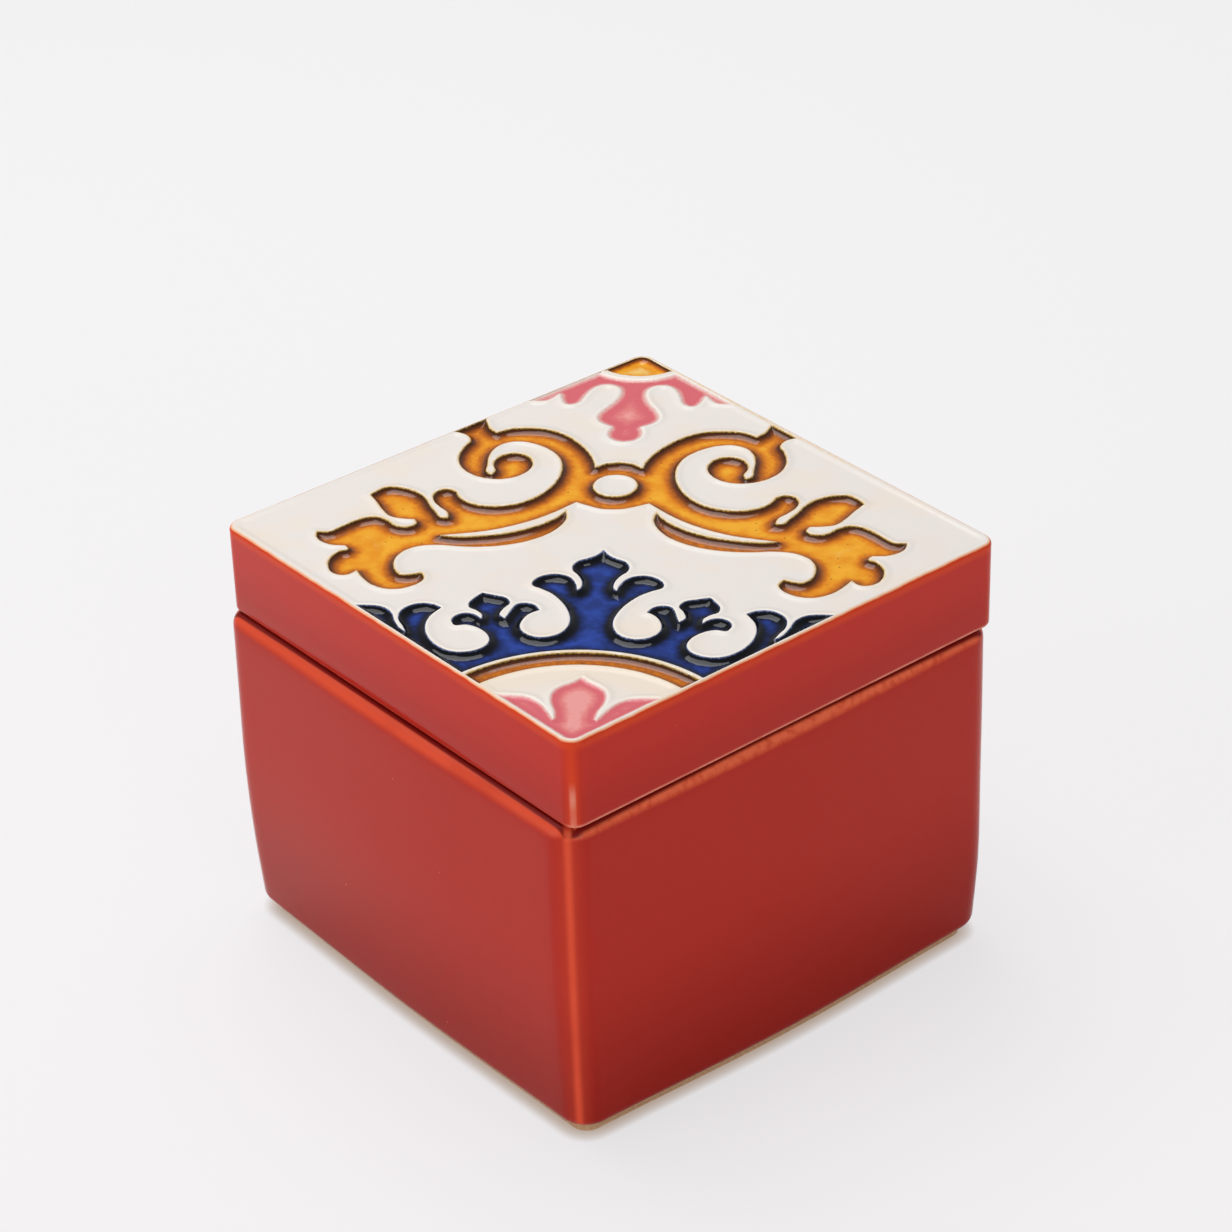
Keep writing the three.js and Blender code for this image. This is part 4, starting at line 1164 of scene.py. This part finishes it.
def cobalt_glaze(context):
    """Transparent cobalt glaze, poured: pale on a ridge, where it runs thin and a painted highlight widens
    the pale line; nearly black where it is thick, deep blue on the floor of a wide cell."""
    colours = context.scene.box_colours
    material, tree, place = start_material("cobalt_glaze")
    # the pale first stops are thin glaze on the ridge, widened into a painted highlight
    depth = add_node(tree, "ShaderNodeValToRGB", None, {"Fac": from_ridge_share(tree, place)}, [
        (0.0, linear("#A9B4D2")), (0.045, linear("#34426E")), (0.085, colours.cobalt_pool),
        (0.38, linear("#050814")), (0.56, linear("#0F2052")), (0.75, colours.cobalt),
        (1.0, linear("#2846A0"))])
    cloud = add_node(tree, "ShaderNodeTexNoise", None, {
        "Vector": place, "Scale": 1 / (4 * MM), "Detail": 3.0})
    thick = add_node(tree, "ShaderNodeMapRange", SMOOTH_STEP, {
        "Value": cloud, "From Min": 0.4, "From Max": 0.65, "To Min": 0.45, "To Max": 0.0})
    base = add_node(tree, "ShaderNodeMix", OF_COLOURS, {
        "Factor": thick, "A": depth, "B": colours.cobalt_pool})
    finish_glaze(tree, place, base, 0.08, 0.035 * MM, 1.6 * MM, ior=1.6, specular=0.23)
    return material


def rose_glaze(context):
    """Opaque rose glaze, brushed over the cream, so its edges are soft and its middle paler."""
    colours = context.scene.box_colours
    material, tree, place = start_material("rose_glaze")
    base = add_node(tree, "ShaderNodeValToRGB", None, {"Fac": from_ridge_share(tree, place)}, [
        (0.0, colours.cream), (0.08, linear("#E8B4AC")), (0.22, colours.rose),
        (0.45, colours.rose), (0.72, linear("#E48280")), (1.0, colours.rose_pale)])
    finish_glaze(tree, place, base, 0.16, 0.01 * MM, 9 * MM, specular=0.3)
    return material


def bare_clay(context):
    """Unglazed fired earthenware: dry and fine-grained, with a dull sandy surface."""
    colours = context.scene.box_colours
    material, tree, place = start_material("bare_fired_clay")
    grain = add_node(tree, "ShaderNodeTexNoise", None, {
        "Vector": place, "Scale": 1 / (0.6 * MM), "Detail": 4.0})
    sandy = add_node(tree, "ShaderNodeMapRange", SMOOTH_STEP, {
        "Value": grain, "From Min": 0.35, "From Max": 0.7})
    base = add_node(tree, "ShaderNodeMix", OF_COLOURS, {
        "Factor": sandy, "A": colours.clay, "B": linear("#DCB890")})
    bump = add_node(tree, "ShaderNodeBump", None, {"Height": grain, "Distance": 0.05 * MM})
    shader = add_node(tree, "ShaderNodeBsdfPrincipled", None, {
        "Base Color": base, "Roughness": 0.85, "Normal": bump})
    add_node(tree, "ShaderNodeOutputMaterial", None, {"Surface": shader})
    return material


# The lamps, as (name, place in metres, side in metres, power in watts)
SOFTBOXES = (
    ("overhead_softbox", (-0.35, 0.05, 1.0), 0.8, 7.3),
    ("left_softbox", (-0.3, -1.1, 0.5), 0.7, 4.0),
    ("right_fill", (1.2, -0.2, 0.3), 0.6, 3.0),
)
ROOM_LIGHT = 0.36                           # strength of the world on the box
ROOM_GLOSS = 0.3                            # its strength in reflections
FLOOR_SIDE = 8                              # metres
FLOOR_PLAIN = 0.76                          # share of the floor that is seen without the lamps on it
FLOOR_GLOSS = 0.1                           # the same in reflections
FOOT_SHADE = 3.2 * MM                       # reach of the shade in the gap round the foot

# The camera, as solved from the lid's corners and the pot's edges in the photograph
CAMERA_TURN = (50.84, 31.33, -1.79)         # azimuth, elevation and roll, in degrees
CAMERA_AIM = (23.64 * MM, -17.78 * MM)      # from the middle of the tile to the point that it looks at
CAMERA_FAR = 650.95 * MM                    # from that point to the camera
CAMERA_NEAR = 50 * MM                       # from the camera to the first thing that it can see
CAMERA_LENS = 108.87                        # in millimetres, for a sensor 36 wide
CAMERA_SENSOR = 36


class BOX_OT_set_stage(bpy.types.Operator):
    """Lay the pale floor, place the soft studio lights and set up the camera"""

    bl_idname = "ceramic_box.set_stage"
    bl_label = "Set stage"

    def execute(self, context):
        self.lay_floor(context)
        self.light_room(context)
        for name, place, side, power in SOFTBOXES:
            self.place_softbox(name, Vector(place), side, power)
        self.place_camera(context)
        context.scene.view_settings.view_transform = "Standard"
        return {"FINISHED"}

    def seen_in_gloss(self, tree, rays):
        """1 for the rays that a glossy or clear surface sends out, and 0 for all others."""
        return add_node(tree, "ShaderNodeMath", GREATER, {
            0: rays["Is Glossy Ray"], 1: rays["Is Transmission Ray"]})

    def lay_floor(self, context):
        """A paper floor that takes the box's shadow, with painted shade in the gap round the foot."""
        deselect_all()
        bpy.ops.mesh.primitive_plane_add(size=FLOOR_SIDE, location=(0, 0, 0))
        floor = bpy.context.object
        floor.name = "floor"
        material, tree, _ = start_material("white_paper")
        colours = context.scene.box_colours
        # painted shade: the floor's plain colour darkens where the box's edge closes over it
        closed = add_node(tree, "ShaderNodeAmbientOcclusion", {"samples": 8}, {"Distance": FOOT_SHADE})
        open_share = add_node(tree, "ShaderNodeMapRange", None, {
            "Value": closed.outputs["AO"], "From Min": 0.3, "From Max": 1.0})
        shade = add_node(tree, "ShaderNodeMix", OF_COLOURS, {
            "Factor": open_share, "A": colours.floor_painted_shade, "B": colours.floor})
        lit = add_node(tree, "ShaderNodeBsdfDiffuse", None, {"Color": colours.floor_lit})
        plain = add_node(tree, "ShaderNodeEmission", None, {"Color": shade})
        rays = add_node(tree, "ShaderNodeLightPath").outputs
        in_gloss = add_node(tree, "ShaderNodeMath", MULTIPLY, {
            0: self.seen_in_gloss(tree, rays), 1: FLOOR_GLOSS})
        seen = add_node(tree, "ShaderNodeMath", MULTIPLY, {0: rays["Is Camera Ray"], 1: FLOOR_PLAIN})
        share = add_node(tree, "ShaderNodeMath", GREATER, {0: seen, 1: in_gloss})
        blend = add_node(tree, "ShaderNodeMixShader", None, {"Fac": share, 1: lit, 2: plain})
        add_node(tree, "ShaderNodeOutputMaterial", None, {"Surface": blend})
        floor.data.materials.append(material)

    def light_room(self, context):
        """The pale room: a soft even light, and the backdrop that the camera sees."""
        world = bpy.data.worlds.new("soft_studio")
        context.scene.world = world
        world.use_nodes = True
        tree = world.node_tree
        tree.nodes.clear()
        rays = add_node(tree, "ShaderNodeLightPath").outputs
        dim = add_node(tree, "ShaderNodeMix", None, {
            "Factor": self.seen_in_gloss(tree, rays), "A": ROOM_LIGHT, "B": ROOM_GLOSS})
        strength = add_node(tree, "ShaderNodeMix", None, {
            "Factor": rays["Is Camera Ray"], "A": dim, "B": 1.0})
        background = add_node(tree, "ShaderNodeBackground", None, {
            "Color": context.scene.box_colours.backdrop, "Strength": strength})
        add_node(tree, "ShaderNodeOutputWorld", None, {"Surface": background})

    def place_softbox(self, name, place, side, power):
        """A square lamp that looks at the middle of the box."""
        aim = Vector((0, 0, LID_TOP / 2)) - place
        turn = aim.to_track_quat("-Z", "Y").to_euler()
        bpy.ops.object.light_add(type="AREA", location=place, rotation=turn)
        lamp = bpy.context.object
        lamp.name = lamp.data.name = name
        lamp.data.shape = "SQUARE"
        lamp.data.size = side
        lamp.data.energy = power

    def place_camera(self, context):
        """The camera, set up by its azimuth and elevation and then rolled."""
        azimuth, elevation, roll = (math.radians(angle) for angle in CAMERA_TURN)
        aim = SEAT + Vector((*CAMERA_AIM, LID_TOP))
        back = Vector((math.sin(azimuth) * math.cos(elevation),
                       -math.cos(azimuth) * math.cos(elevation), math.sin(elevation)))
        right = Vector((math.cos(azimuth), math.sin(azimuth), 0))
        up = back.cross(right)
        right, up = (math.cos(roll) * right + math.sin(roll) * up,
                     math.cos(roll) * up - math.sin(roll) * right)
        turn = Matrix((right, up, back)).transposed()
        bpy.ops.object.camera_add(location=aim + back * CAMERA_FAR, rotation=turn.to_euler())
        camera = bpy.context.object
        camera.data.sensor_width = CAMERA_SENSOR
        camera.data.lens = CAMERA_LENS
        camera.data.clip_start = CAMERA_NEAR
        context.scene.camera = camera


class BOX_PT_panel(bpy.types.Panel):
    """Sizes, colours and steps of the ceramic box"""

    bl_label = "Ceramic box"
    bl_space_type = "VIEW_3D"
    bl_region_type = "UI"
    bl_category = "Ceramic box"

    def draw(self, context):
        layout = self.layout
        for group in (context.scene.box_sizes, context.scene.box_colours):
            column = layout.column(align=True)
            for name in group.bl_rna.properties.keys():
                if name not in ("rna_type", "name"):
                    column.prop(group, name)
        for operator in STEPS:
            layout.operator(operator.bl_idname)


STEPS = (BOX_OT_make_pot, BOX_OT_make_lid, BOX_OT_pour_glazes, BOX_OT_set_stage)
CLASSES = (BoxSizes, BoxColours, *STEPS, BOX_PT_panel)


def register():
    for cls in CLASSES:
        bpy.utils.register_class(cls)
    bpy.types.Scene.box_sizes = PointerProperty(type=BoxSizes)
    bpy.types.Scene.box_colours = PointerProperty(type=BoxColours)


def unregister():
    del bpy.types.Scene.box_sizes
    del bpy.types.Scene.box_colours
    for cls in reversed(CLASSES):
        bpy.utils.unregister_class(cls)


def main():
    register()
    bpy.ops.ceramic_box.make_pot()
    bpy.ops.ceramic_box.make_lid()
    bpy.ops.ceramic_box.pour_glazes()
    bpy.ops.ceramic_box.set_stage()


if __name__ == "__main__":
    main()
